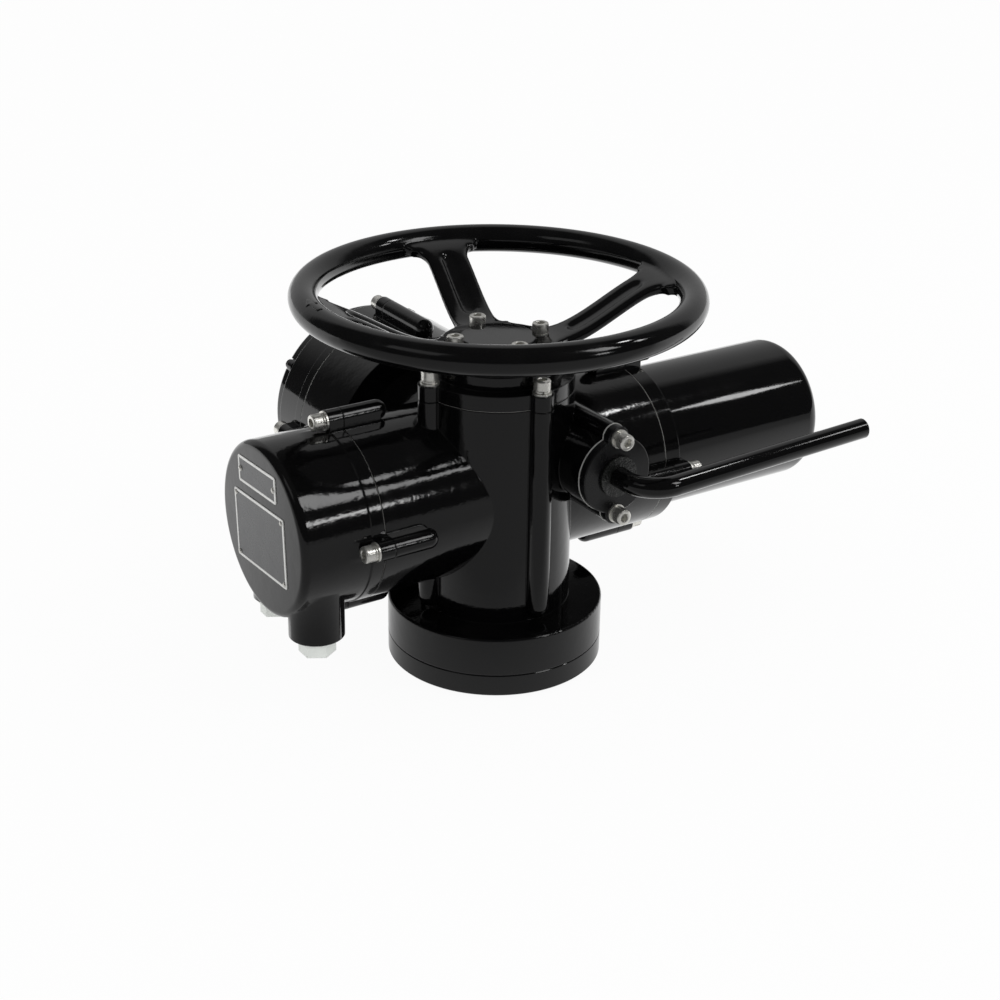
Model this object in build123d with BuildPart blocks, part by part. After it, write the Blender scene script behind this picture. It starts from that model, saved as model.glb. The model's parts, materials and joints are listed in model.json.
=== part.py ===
from build123d import *
import os
from math import atan2, cos, degrees, pi, radians, sin, sqrt, tan

os.makedirs("parts", exist_ok=True)

# Multi-turn electric actuator for gate and globe valves.
# +Z is the valve stem axis, z = 0 the face that meets the valve.
# +X carries the motor, -X the terminal compartment, +Y the control drum
# and -Y the lever that changes from motor to hand drive.

# Running and seating clearances
running_gap = 0.05
loose_gap = 0.3
seat_gap = 0.1
joint_gap = 0.8
seam = 0.6
lip_edge = 0.6

# Valve flange and output drive
flange_r = 87.5
output_flange_h = 18.0
housing_base_h = 32.0
spigot_r = 50.0
spigot_h = 4.0
valve_bolt_pcd = 140.0
valve_bolt_hole_r = 7.0
flange_screw_r = 5.0
flange_screw_head_r = 8.0
flange_screw_head_h = 10.0
flange_screw_length = 24.0
flange_tap_depth = 18.0
output_seal_r = 36.0
output_seal_h = 8.0
stem_key_r = 25.5
stem_key_width = 8.0
stem_bore_r = 15.0
stem_nut_r = 23.0
stem_nut_top_z = 68.0

# Column
column_r = 60.5
column_wall = 9.5
column_top_z = 230.0
rib_r = 9.5
rib_offset = 1.0
rib_foot_gap = 2.5
base_round = 2.0
rib_tap_depth = 40.0
ear_tap_depth = 32.0
base_top_z = output_flange_h + housing_base_h
column_bore_r = column_r - column_wall

# Axis of the gear space and the terminal neck
side_y = 20.0
side_z = 144.0
gear_bore_r = 50.5
shield_bore_r = 52.0
carrier_x = 88.0
carrier_h = 11.0

# Motor neck and cover; the motor lies one spur gear distance from the worm
motor_y = 28.0
motor_neck_r = 69.3
motor_body_r = 60.4
motor_face_x = 140.0
motor_lip = 14.5
motor_length = 178.0
motor_wall = 5.5
motor_round = 14.0
motor_screw_radius = 77.0
motor_boss_length = 38.0

# Terminal neck and cover
terminal_r = 70.0
terminal_face_x = -129.6
terminal_lip = 11.0
terminal_length = 68.0
terminal_wall = 6.0
terminal_round = 12.0
terminal_screw_radius = 77.5
terminal_boss_length = 40.0
partition_x = -74.0
partition_wall = 16.0

# Control drum
drum_z = 146.0
drum_r = 89.0
drum_back_y = 105.0
drum_face_y = 168.0
drum_lip = 10.5
drum_length = 40.0
drum_wall = 7.0
drum_neck_r = 66.0
drum_screw_radius = 96.0
drum_boss_length = 64.0
drum_opening_r = 74.0
end_plate_r = 84.0
end_plate_h = 15.0
end_plate_round = 4.0
end_lug_radius = 83.0
end_lug_r = 5.5
end_lug_h = 7.0
end_lug_count = 8
end_lug_turn = 32.0
m5_r = 2.5
m5_head_r = 4.2
m5_head_h = 4.5
seal_width = 2.4
seal_depth = 1.8
cover_step = 0.8
switch_plate_r = 72.0
switch_plate_h = 4.0

# Cable entries, each with its y, tube radius, bore radius, plug flange radius and hexagon
entry_x = -172.5
entry_bottom_z = 66.0
large_entry = (-17.0, 21.6, 16.0, 17.5, 25.0)
small_entry = (57.0, 15.8, 11.5, 12.8, 18.5)
entries = (large_entry, small_entry)
plug_flange_h = 3.5
plug_hex_h = 11.5
plug_shank = 14.0

# Screws
m8_r = 4.0
m8_head_r = 6.5
m8_head_h = 8.0
m8_socket = 6.0
m8_socket_depth = 4.0
m8_length = 35.0
hub_screw_length = 18.0
washer_r = 7.6
washer_h = 1.6
spring_washer_r = 6.4
spring_washer_h = 2.0
spring_washer_cut = 1.2
boss_r = 8.0
screw_seat = 1.0

# Top cover
cover_h = 12.0
cover_spigot_h = 8.0
collar_r = 50.0
collar_h = 13.0
collar_recess_r = 46.0
cover_hub_r = 36.0
cover_hub_z = 212.0

# Hand drive
hand_journal_r = 26.0
hand_bush_r = 30.0
hand_seat_r = 22.0
hand_flange_r = 44.0
wheel_flange_r = 44.5
hub_plate_z = 258.7
hub_plate_h = 6.5
hub_r = 47.0
hub_cap_r = 29.5
hub_cap_depth = 2.0
hub_cap_h = 6.6
hub_screw_radius = 36.7
hub_screw_angle = -6.5

# Handwheel
rim_r = 149.0
rim_tube_r = 11.4
rim_z = 303.6
spoke_angle = -12.0
spoke_count = 4
spoke_half = 19.5
spoke_depth = 9.0
spoke_root_r = 38.0
spoke_root_flare = 8.0
spoke_tip_flare = 25.0
spoke_waist_start_r = 66.0
spoke_waist_end_r = 104.0
spoke_points = 12
channel_half = 9.0
channel_depth = 2.6
channel_start_r = 58.0
channel_end_r = 128.0

# Lever
lever_x = 52.0
lever_z = 173.8
lever_boss_r = 31.0
lever_ear = 31.2
lever_ear_r = 9.5
lever_boss_y = -83.0
lever_boss_root = 15.0
lever_plate_h = 8.0
lever_gasket_h = 1.0
lever_gasket_edge = 0.4
lever_rod_r = 8.2
lever_rod_y = -130.0
lever_bend_r = 26.0
lever_end_x = 270.0
lever_slope = 2.0
lever_bush_r = 16.5
lever_bush_h = 2.5
lever_bush_outer_r = 14.0
crank_r = 19.0
crank_h = 8.0
crank_y = -34.0
crank_pin_r = 4.0
crank_throw = 14.0
crank_rest = 20.0
crank_pin_tip_y = -14.0
lever_swing = 40.0

# Worm gearing
module = 2.0
wheel_teeth = 36
worm_r = 12.5
worm_length = 62.0
worm_turns = 8
wheel_width = 10.0
flank_angle = 20.0
tooth_share = 0.38
wheel_pitch_r = module * wheel_teeth / 2
worm_y = wheel_pitch_r + worm_r
worm_pitch = pi * module

# Spur gearing between motor and worm shaft
spur_module = 1.5
pinion_teeth = 12
gear_teeth = 16
spur_share = 0.44
spur_x = 104.0
spur_width = 12.0
pinion_bore_r = 5.5

# Drive of the limit switches: crown gear on the sleeve and a shaft along +Y
crown_teeth = 48
crown_pinion_teeth = 12
crown_pitch_r = 40.0
crown_face = 8.0
crown_share = 0.3
crown_z = 103.0
crown_plate_h = 5.0
switch_shaft_r = 5.0
switch_shaft_end_y = 132.0
switch_bush_r = 8.0
switch_bush_length = 18.0
neck_hollow_r = 54.0
neck_floor_y = 80.0

# Switch units and terminal block
limit_width = 44.0
limit_height = 56.0
limit_low_z = 92.0
torque_width = 58.0
torque_height = 34.0
unit_base_h = 22.0
unit_top_h = 14.0
block_width = 84.0
block_height = 46.0
block_base_h = 12.0
barrier_h = 7.0
barrier_w = 1.6
clamp_pitch = 9.6
clamp_w = 6.0
clamp_count = 8

# Output sleeve
sleeve_seat_r = 27.5
sleeve_body_r = 30.0
sleeve_collar_r = 33.0
sleeve_wheel_r = 28.0
sleeve_spline_r = 24.0
spline_reach = 2.5
spline_width = 8.0
sleeve_top_r = 20.0
sleeve_bore_r = 17.0
sleeve_top_z = 204.0
sleeve_bottom_z = 3.0

# Dog clutch
dog_count = 4
dog_inner_r = 28.0
dog_outer_r = 34.0
dog_angle = 35.0
dog_h = 5.5
ring_r = 44.0
groove_r = 36.0
groove_half = 4.5
ring_flange = 3.5

# Bearings: bore radius, outer radius, width
main_bearing = (27.5, 45.0, 18.0)
worm_bearing = (7.5, 17.5, 11.0)
motor_bearing = (8.5, 20.0, 12.0)

# Motor internals
rotor_r = 26.4
stack_start = 25.0
stack_end_space = 45.0
winding_length = 14.0
shield_h = 14.0
shield_flange_h = 5.0

# Places worked out from the sizes above
column_cover_top_z = column_top_z + cover_h
wheel_z = side_z - wheel_width / 2
pin_rest_z = lever_z - crank_throw * sin(radians(crank_rest))
clutch_lift = 2 * crank_throw * sin(radians(crank_rest))
groove_low_z = pin_rest_z - groove_half
groove_high_z = pin_rest_z + groove_half
ring_low_z = groove_low_z - ring_flange
ring_high_z = groove_high_z + ring_flange + 1.0
crank_back_y = crank_y - crank_h - 1.5
ring_foot_z = wheel_z + wheel_width + dog_h + 1.5
hand_flange_z = ring_high_z + clutch_lift + dog_h + 0.6
hand_flange_h = 7.5
wheel_flange_z = column_cover_top_z + joint_gap + 4.7
motor_end_x = motor_face_x + motor_length
terminal_end_x = terminal_face_x - terminal_length
drum_cover_end_y = drum_face_y + drum_length
rib_centre_r = column_r + rib_offset
stack_x = motor_face_x + stack_start
stack_length = motor_length - stack_start - stack_end_space
stack_end_x = stack_x + stack_length
spur_distance = spur_module * (pinion_teeth + gear_teeth) / 2
motor_z = side_z - sqrt(spur_distance ** 2 - (worm_y - motor_y) ** 2)
spur_line = degrees(atan2(side_z - motor_z, worm_y - motor_y))

ring_dog_turn = 180 / dog_count
stator_r = motor_body_r - motor_wall - seat_gap
terminal_body_r = terminal_r - cover_step
drum_body_r = drum_r - cover_step

# Planes of the four bolted joints, each looking outward
top_plane = Plane.XY.offset(column_top_z)
motor_plane = Plane(origin=(motor_face_x, motor_y, motor_z), x_dir=(0, 1, 0), z_dir=(1, 0, 0))
motor_axis = Plane(origin=(0, motor_y, motor_z), x_dir=(0, 1, 0), z_dir=(1, 0, 0))
terminal_plane = Plane(origin=(terminal_face_x, side_y, side_z), x_dir=(0, 1, 0), z_dir=(-1, 0, 0))
drum_plane = Plane(origin=(0, drum_face_y, drum_z), x_dir=(1, 0, 0), z_dir=(0, 1, 0))
lever_plane = Plane(origin=(lever_x, lever_boss_y, lever_z), x_dir=(1, 0, 0), z_dir=(0, -1, 0))
worm_plane = Plane(origin=(0, worm_y, side_z), x_dir=(0, 1, 0), z_dir=(1, 0, 0))
side_plane = Plane(origin=(0, side_y, side_z), x_dir=(0, 1, 0), z_dir=(1, 0, 0))
crown_pinion_r = crown_pitch_r * crown_pinion_teeth / crown_teeth
crown_module = 2 * crown_pitch_r / crown_teeth
switch_axis = Plane(origin=(0, 0, crown_z + crown_pinion_r), x_dir=(1, 0, 0), z_dir=(0, 1, 0))
seal_seats = (
    (motor_plane, shield_bore_r + 4.0),
    (terminal_plane, terminal_r - 6.0),
    (drum_plane, drum_r - 6.0),
    (top_plane, column_bore_r + 3.0),
)
seal_names = ("motor_cover", "terminal_cover", "control_cover", "top_cover")


def save(part, name):
    part.label = name
    export_step(part, f"parts/{name}.step")


def disc(plane, radius, length, mode=Mode.ADD):
    """A round bar that stands on the plane, in the part being built."""
    with BuildSketch(plane) as outline:
        Circle(radius)
    extrude(outline.sketch, amount=length, mode=mode)


def ring_profile(inner, outer, mode=Mode.ADD):
    Circle(outer, mode=mode)
    Circle(inner, mode=Mode.SUBTRACT)


def boss_outline(centre_radius, inset=0.0):
    """Four screw bosses with their webs, in the sketch being drawn."""
    with PolarLocations(centre_radius, 4):
        Circle(boss_r - inset)
    with PolarLocations(centre_radius - boss_r, 4):
        Rectangle(2 * boss_r, 2 * (boss_r - inset))


def neck(plane, radius, length, centre_radius, boss_length):
    """A round neck behind the plane with its screw bosses, set back beside the joint."""
    disc(plane, radius - seam, -seam)
    disc(plane.offset(-seam), radius, seam - length)
    with BuildSketch(plane) as edge_outline:
        boss_outline(centre_radius, seam)
    extrude(edge_outline.sketch, amount=-seam)
    with BuildSketch(plane.offset(-seam)) as outline:
        boss_outline(centre_radius)
    extrude(outline.sketch, amount=seam + boss_r - boss_length)
    with Locations(plane.offset(boss_r - boss_length)):
        with PolarLocations(centre_radius, 4):
            Sphere(boss_r)


def screw_holes(plane, centre_radius, radius, depth, count=4, start=0):
    with BuildSketch(plane) as outline:
        with PolarLocations(centre_radius, count, start_angle=start):
            Circle(radius)
    extrude(outline.sketch, amount=depth, mode=Mode.SUBTRACT)


def socket_screw(length):
    """One cap screw along +Z, with the underside of its head at z = 0."""
    with BuildPart() as screw:
        Cylinder(m8_head_r, m8_head_h, align=(Align.CENTER, Align.CENTER, Align.MIN))
        chamfer(screw.faces().sort_by(Axis.Z)[-1].edges(), 0.8)
        with BuildSketch(Plane.XY.offset(m8_head_h)):
            RegularPolygon(m8_socket / sqrt(3), 6)
        extrude(amount=-m8_socket_depth, mode=Mode.SUBTRACT)
        Cylinder(m8_r - seat_gap, length, align=(Align.CENTER, Align.CENTER, Align.MAX))
    return screw.part


def flat_washer():
    with BuildPart() as washer:
        with BuildSketch():
            ring_profile(m8_r + loose_gap, washer_r)
        extrude(amount=washer_h)
    return washer.part


def spring_washer():
    with BuildPart() as washer:
        with BuildSketch():
            ring_profile(m8_r + loose_gap, spring_washer_r)
            with Locations((spring_washer_r, 0)):
                Rectangle(spring_washer_r, spring_washer_cut, mode=Mode.SUBTRACT)
        extrude(amount=spring_washer_h)
    return washer.part


def fasteners(name, seats, length=m8_length, flat_h=washer_h):
    """Screws and washers: one set at each seat, looking outward; flat_h = 0 for no flat washer."""
    kinds = {
        "screws": Pos(0, 0, flat_h + spring_washer_h) * socket_screw(length),
        "spring_washers": Pos(0, 0, flat_h) * spring_washer(),
    }
    if flat_h:
        kinds["flat_washers"] = flat_washer()
    for kind, piece in kinds.items():
        with BuildPart() as group:
            for seat in seats:
                add(seat * piece)
        save(group.part, f"{name}_{kind}")


def seats_on(plane, radius, height, count=4, start=0):
    turns = [start + k * 360 / count for k in range(count)]
    return [plane.location * Rot(0, 0, turn) * Pos(radius, 0, height) for turn in turns]


def spur_outline(teeth, tooth_module, thickness_share, turn=0.0):
    """Straight-flanked gear outline, drawn about the sketch's origin."""
    pitch_r = tooth_module * teeth / 2
    step = 360 / teeth
    half = step * thickness_share / 2
    root_r = pitch_r - 1.25 * tooth_module
    tip_r = pitch_r + tooth_module
    slant = degrees(tooth_module * tan(radians(flank_angle)) / pitch_r)
    points = []
    for k in range(teeth):
        middle = turn + k * step
        for radius, angle in (
            (root_r, middle - half - 1.25 * slant),
            (tip_r, middle - half + slant),
            (tip_r, middle + half - slant),
            (root_r, middle + half + 1.25 * slant),
        ):
            points.append((radius * cos(radians(angle)), radius * sin(radians(angle))))
    Polygon(*points, align=None)


def dog_sectors(start):
    """The sectors of one half of the dog clutch, in the sketch being drawn."""
    ring_profile(dog_inner_r, dog_outer_r)
    gap = 360 / dog_count - dog_angle
    reach = 2 * dog_outer_r
    for k in range(dog_count):
        first = start + dog_angle / 2 + k * 360 / dog_count
        last = first + gap
        middle = (first + last) / 2
        corners = [(0, 0)]
        for angle in (first, middle, last):
            corners.append((reach * cos(radians(angle)), reach * sin(radians(angle))))
        Polygon(*corners, align=None, mode=Mode.SUBTRACT)


def bearing(name, plane, size):
    """A sealed ball bearing: rings flush, with shallow recessed seals."""
    bore, outer, width = size
    wall = (outer - bore) / 3.5
    with BuildPart() as body:
        with BuildSketch(plane):
            ring_profile(bore + running_gap, outer - seat_gap)
        extrude(amount=width)
        for face, depth in ((plane, 0.8), (plane.offset(width), -0.8)):
            with BuildSketch(face):
                ring_profile(bore + wall, outer - wall)
            extrude(amount=depth, mode=Mode.SUBTRACT)
    save(body.part, name)


def turned(points, mode=Mode.ADD):
    """A body of revolution about the stem axis, from (radius, height) points."""
    with BuildSketch(Plane.XZ) as outline:
        Polygon(*points, align=None)
    revolve(outline.sketch, axis=Axis.Z, mode=mode)


def tube(plane, inner, outer, length, mode=Mode.ADD):
    with BuildSketch(plane) as outline:
        ring_profile(inner, outer)
    extrude(outline.sketch, amount=length, mode=mode)


def seal_ring(plane, radius, gap, mode=Mode.ADD):
    """A flat sealing ring that lies in a groove behind the plane."""
    tube(plane, radius - gap, radius + seal_width + gap, -(seal_depth + gap), mode)


def lever_outline(edge=0.0):
    """Round flange of the lever with its two ears, in the sketch being drawn."""
    Circle(lever_boss_r + edge)
    with Locations((0, lever_ear), (0, -lever_ear)):
        Circle(lever_ear_r + edge)


# Gear housing: base disc, column with four ribs, three necks and the lever boss
with BuildPart() as gear_housing:
    disc(Plane.XY.offset(output_flange_h), flange_r, housing_base_h)
    chamfer(gear_housing.faces().sort_by(Axis.Z)[0].edges(), seam)
    fillet(gear_housing.faces().sort_by(Axis.Z)[-1].edges(), base_round)
    rib_foot_z = base_top_z + rib_r + rib_foot_gap
    rib_end_z = column_top_z - seam
    for inset, low_z, high_z in ((0, base_top_z, rib_end_z), (seam, rib_end_z, column_top_z)):
        disc(Plane.XY.offset(low_z), column_r - inset, high_z - low_z)
    for inset, low_z, high_z in ((0, rib_foot_z, rib_end_z), (seam, rib_end_z, column_top_z)):
        with BuildSketch(Plane.XY.offset(low_z)):
            with PolarLocations(rib_centre_r, 4):
                Circle(rib_r - inset)
        extrude(amount=high_z - low_z)
    with Locations(Plane.XY.offset(rib_foot_z)):
        with PolarLocations(rib_centre_r, 4):
            Sphere(rib_r)
    neck(motor_plane, motor_neck_r, motor_face_x, motor_screw_radius, motor_boss_length)
    neck(terminal_plane, terminal_r, -terminal_face_x, terminal_screw_radius, terminal_boss_length)
    disc(drum_plane, drum_neck_r, -drum_face_y)
    neck(drum_plane, drum_r, drum_face_y - drum_back_y, drum_screw_radius, drum_boss_length)
    with BuildSketch(lever_plane):
        lever_outline()
    extrude(amount=lever_boss_y + lever_boss_root)
    # Gear space, column bore and the three open necks
    disc(side_plane.offset(partition_x), gear_bore_r, carrier_x - partition_x, Mode.SUBTRACT)
    disc(motor_plane, shield_bore_r, carrier_x - motor_face_x, Mode.SUBTRACT)
    disc(Plane.XY.offset(output_flange_h), main_bearing[1], main_bearing[2] + seat_gap, Mode.SUBTRACT)
    disc(Plane.XY.offset(output_flange_h), main_bearing[1] - 6, housing_base_h + 5, Mode.SUBTRACT)
    disc(Plane.XY.offset(base_top_z), column_bore_r, column_top_z - base_top_z, Mode.SUBTRACT)
    disc(terminal_plane, terminal_r - 9, terminal_face_x - partition_x + partition_wall, Mode.SUBTRACT)
    disc(drum_plane, drum_r - 10, drum_back_y - drum_face_y + 8, Mode.SUBTRACT)
    disc(lever_plane.offset(lever_boss_y - crank_back_y), crank_r + 2, crank_back_y, Mode.SUBTRACT)
    disc(lever_plane, lever_rod_r + running_gap, lever_boss_y / 1.5, Mode.SUBTRACT)
    # Hollow of the drum neck and the bore of the switch drive
    disc(drum_plane.offset(neck_floor_y - drum_face_y), neck_hollow_r, drum_back_y - neck_floor_y + 8,
         Mode.SUBTRACT)
    disc(switch_axis.offset(neck_floor_y), switch_bush_r, -neck_floor_y, Mode.SUBTRACT)
    # Seat of the worm shaft's rear bearing in the partition
    disc(worm_plane.offset(partition_x), worm_bearing[1], -worm_bearing[2] - 1, Mode.SUBTRACT)
    # Tapped holes and seal grooves
    screw_holes(top_plane, rib_centre_r, m8_r, -rib_tap_depth)
    screw_holes(motor_plane, motor_screw_radius, m8_r, 5 - motor_boss_length)
    screw_holes(terminal_plane, terminal_screw_radius, m8_r, 12 - terminal_boss_length)
    screw_holes(drum_plane, drum_screw_radius, m8_r, 12 - drum_boss_length)
    with BuildSketch(lever_plane):
        with Locations((0, lever_ear), (0, -lever_ear)):
            Circle(m8_r)
    extrude(amount=-ear_tap_depth, mode=Mode.SUBTRACT)
    screw_holes(Plane.XY.offset(output_flange_h), valve_bolt_pcd / 2, flange_screw_r, flange_tap_depth)
    for plane, radius in seal_seats:
        seal_ring(plane, radius, seat_gap, Mode.SUBTRACT)
save(gear_housing.part, "gear_housing")

# Output flange: the lower disc, with its spigot and the holes to the valve
with BuildPart() as output_flange:
    disc(Plane.XY, flange_r, output_flange_h)
    chamfer(output_flange.faces().sort_by(Axis.Z)[0].edges(), 1.0)
    chamfer(output_flange.faces().sort_by(Axis.Z)[-1].edges(), seam)
    disc(Plane.XY, spigot_r, -spigot_h)
    seal_floor_z = output_flange_h - output_seal_h - 1
    disc(Plane.XY.offset(-spigot_h), sleeve_seat_r + 1.5, output_flange_h + spigot_h, Mode.SUBTRACT)
    disc(Plane.XY.offset(seal_floor_z), output_seal_r, output_flange_h, Mode.SUBTRACT)
    screw_holes(Plane.XY, valve_bolt_pcd / 2, valve_bolt_hole_r, output_flange_h, start=45)
    screw_holes(Plane.XY, valve_bolt_pcd / 2, flange_screw_r + 0.5, output_flange_h)
    screw_holes(Plane.XY, valve_bolt_pcd / 2, flange_screw_head_r + 0.5, flange_screw_head_h + 0.5)
save(output_flange.part, "output_flange")

with BuildPart() as output_flange_screws:
    head_z = flange_screw_head_h + 0.5
    with BuildSketch(Plane.XY.offset(head_z)):
        with PolarLocations(valve_bolt_pcd / 2, 4):
            Circle(flange_screw_head_r)
    extrude(amount=-flange_screw_head_h)
    with BuildSketch(Plane.XY.offset(head_z)):
        with PolarLocations(valve_bolt_pcd / 2, 4):
            Circle(flange_screw_r - seat_gap)
    extrude(amount=flange_screw_length)
    with BuildSketch(Plane.XY.offset(head_z - flange_screw_head_h)):
        with PolarLocations(valve_bolt_pcd / 2, 4):
            RegularPolygon(flange_screw_r, 6)
    extrude(amount=5, mode=Mode.SUBTRACT)
save(output_flange_screws.part, "output_flange_screws")

with BuildPart() as output_seal:
    tube(Plane.XY.offset(seal_floor_z), sleeve_seat_r + running_gap, output_seal_r - seat_gap, output_seal_h)
save(output_seal.part, "output_seal")

bearing("main_bearing", Plane.XY.offset(output_flange_h), main_bearing)

# Drive sleeve: hollow shaft with bearing seat, wheel seat, splines and top journal
with BuildPart() as drive_sleeve:
    seat_top_z = output_flange_h + main_bearing[2] + 0.2
    collar_z = wheel_z - 5.0
    turned([
        (sleeve_bore_r, sleeve_bottom_z),
        (sleeve_seat_r, sleeve_bottom_z),
        (sleeve_seat_r, seat_top_z),
        (sleeve_body_r, seat_top_z),
        (sleeve_body_r, collar_z - 6),
        (sleeve_collar_r, collar_z - 6),
        (sleeve_collar_r, collar_z),
        (sleeve_wheel_r, collar_z),
        (sleeve_wheel_r, wheel_z + wheel_width),
        (sleeve_spline_r, wheel_z + wheel_width),
        (sleeve_spline_r, hand_flange_z - 2.5),
        (sleeve_top_r, hand_flange_z - 2.5),
        (sleeve_top_r, sleeve_top_z),
        (sleeve_bore_r, sleeve_top_z),
    ])
    spline_z = wheel_z + wheel_width
    with BuildSketch(Plane.XY.offset(spline_z)):
        with PolarLocations(sleeve_spline_r, 4):
            Rectangle(2 * spline_reach, spline_width)
    extrude(amount=hand_flange_z - 3.0 - spline_z)
    disc(Plane.XY.offset(sleeve_bottom_z), stem_nut_r + seat_gap, stem_nut_top_z, Mode.SUBTRACT)
    with BuildSketch(Plane.XY.offset(sleeve_bottom_z)):
        Rectangle(2 * stem_key_r + 2 * seat_gap, stem_key_width + 2 * seat_gap)
    extrude(amount=stem_nut_top_z, mode=Mode.SUBTRACT)
save(drive_sleeve.part, "drive_sleeve")

with BuildPart() as stem_nut:
    disc(Plane.XY.offset(sleeve_bottom_z), stem_nut_r, stem_nut_top_z)
    with BuildSketch(Plane.XY.offset(stem_nut_top_z - 25)):
        Rectangle(2 * stem_key_r, stem_key_width)
    extrude(amount=25)
    disc(Plane.XY.offset(sleeve_bottom_z), stem_bore_r, stem_nut_top_z, Mode.SUBTRACT)
save(stem_nut.part, "stem_nut")

# Worm wheel: toothed rim on a hub, with dogs on its upper face
with BuildPart() as worm_wheel:
    with BuildSketch(Plane.XY.offset(wheel_z)):
        spur_outline(wheel_teeth, module, tooth_share)
    extrude(amount=wheel_width)
    disc(Plane.XY.offset(collar_z + 0.2), sleeve_collar_r - 1, wheel_z - collar_z)
    with BuildSketch(Plane.XY.offset(wheel_z + wheel_width)):
        dog_sectors(0)
    extrude(amount=dog_h)
    disc(Plane.XY.offset(collar_z), sleeve_wheel_r + running_gap, 3 * wheel_width, Mode.SUBTRACT)
save(worm_wheel.part, "worm_wheel")

# Worm shaft: single-start worm between two bearing seats
worm_tip_r = worm_r + module
worm_root_r = worm_r - 1.25 * module
with BuildPart() as worm_shaft:
    start_z = -worm_turns * worm_pitch / 2
    with BuildLine():
        Helix(pitch=worm_pitch, height=worm_turns * worm_pitch, radius=worm_r, center=(0, 0, start_z))
    with BuildSketch(Plane.XZ):
        half = worm_pitch * tooth_share / 2
        rise = tan(radians(flank_angle))
        root_half = half + (worm_r - worm_root_r + 0.3) * rise
        tip_half = half - module * rise
        Polygon(
            (worm_root_r - 0.3, start_z - root_half),
            (worm_tip_r, start_z - tip_half),
            (worm_tip_r, start_z + tip_half),
            (worm_root_r - 0.3, start_z + root_half),
            align=None,
        )
    sweep(is_frenet=True)
    rear_x = partition_x - worm_bearing[2]
    gear_end_x = spur_x + spur_width + 2
    for radius, first, last in (
        (worm_root_r, -worm_length / 2, worm_length / 2),
        (worm_root_r - 0.8, partition_x + 0.2, carrier_x - 0.2),
        (worm_bearing[0], rear_x - 0.2, gear_end_x),
    ):
        with Locations((0, 0, first)):
            Cylinder(radius, last - first, align=(Align.CENTER, Align.CENTER, Align.MIN))
worm_shaft_part = worm_plane.location * worm_shaft.part
save(worm_shaft_part, "worm_shaft")

bearing("worm_bearing_rear", worm_plane.offset(rear_x), worm_bearing)
bearing("worm_bearing_front", worm_plane.offset(carrier_x), worm_bearing)

with BuildPart() as worm_gear:
    with BuildSketch(worm_plane.offset(spur_x)):
        spur_outline(gear_teeth, spur_module, spur_share, spur_line + 180 + 180 / gear_teeth)
        Circle(worm_bearing[0], mode=Mode.SUBTRACT)
    extrude(amount=spur_width)
    for face, depth in ((worm_plane.offset(spur_x), 2), (worm_plane.offset(spur_x + spur_width), -2)):
        tube(face, worm_bearing[0] + 1, spur_module * (gear_teeth / 2 - 2.5), depth, Mode.SUBTRACT)
save(worm_gear.part, "worm_gear")

# Gear carrier: round plate that holds the front worm bearing
with BuildPart() as gear_carrier:
    disc(motor_axis.offset(carrier_x), shield_bore_r - seat_gap, carrier_h)
    disc(worm_plane.offset(carrier_x), worm_bearing[1], carrier_h, Mode.SUBTRACT)
    disc(motor_axis.offset(carrier_x), motor_bearing[0] + 2, carrier_h, Mode.SUBTRACT)
    with BuildSketch(motor_axis.offset(carrier_x)):
        with Locations((-28, 18), (-28, -18)):
            Circle(9)
    extrude(amount=carrier_h, mode=Mode.SUBTRACT)
save(gear_carrier.part, "gear_carrier")

# Motor: shaft, pinion, rotor, stator, windings and the two bearings
shield_x = motor_face_x - shield_h
with BuildPart() as motor_shaft:
    shaft_start_x = carrier_x + carrier_h + 2
    rear_bearing_x = motor_end_x - motor_wall - motor_bearing[2] - 4
    shaft_end_x = rear_bearing_x + motor_bearing[2] + 1
    pinion_end_x = spur_x + spur_width
    disc(motor_axis.offset(shaft_start_x), pinion_bore_r, pinion_end_x - shaft_start_x)
    disc(motor_axis.offset(pinion_end_x), motor_bearing[0], shaft_end_x - pinion_end_x)
    disc(motor_axis.offset(motor_face_x + 0.2), motor_bearing[0] + 2, rear_bearing_x - motor_face_x - 0.4)
save(motor_shaft.part, "motor_shaft")

with BuildPart() as motor_pinion:
    with BuildSketch(motor_axis.offset(spur_x)):
        spur_outline(pinion_teeth, spur_module, spur_share, spur_line)
    extrude(amount=spur_width)
    disc(motor_axis.offset(spur_x), pinion_bore_r, spur_width, Mode.SUBTRACT)
save(motor_pinion.part, "motor_pinion")

with BuildPart() as motor_rotor:
    tube(motor_axis.offset(stack_x), motor_bearing[0] + 2, rotor_r, stack_length)
    for face, reach in ((stack_x, -8), (stack_end_x, 8)):
        tube(motor_axis.offset(face), rotor_r - 9, rotor_r - 2, reach)
save(motor_rotor.part, "motor_rotor")

with BuildPart() as motor_stator:
    tube(motor_axis.offset(stack_x), rotor_r + 0.6, stator_r, stack_length)
save(motor_stator.part, "motor_stator")

with BuildPart() as motor_windings:
    for face, reach in ((stack_x, -winding_length), (stack_end_x, winding_length)):
        tube(motor_axis.offset(face), rotor_r + 4, stator_r - 5, reach)
save(motor_windings.part, "motor_windings")

bearing("motor_bearing_front", motor_axis.offset(motor_face_x - motor_bearing[2]), motor_bearing)
bearing("motor_bearing_rear", motor_axis.offset(rear_bearing_x), motor_bearing)

with BuildPart() as motor_shield:
    disc(motor_axis.offset(shield_x), shield_bore_r - seat_gap, shield_h)
    disc(motor_plane, stator_r, shield_flange_h)
    disc(motor_plane, motor_bearing[1], -motor_bearing[2], Mode.SUBTRACT)
    disc(motor_plane, motor_bearing[0] + 2.5, shield_flange_h, Mode.SUBTRACT)
    disc(motor_axis.offset(shield_x), motor_bearing[0] + 2, shield_h, Mode.SUBTRACT)
save(motor_shield.part, "motor_shield")


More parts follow.
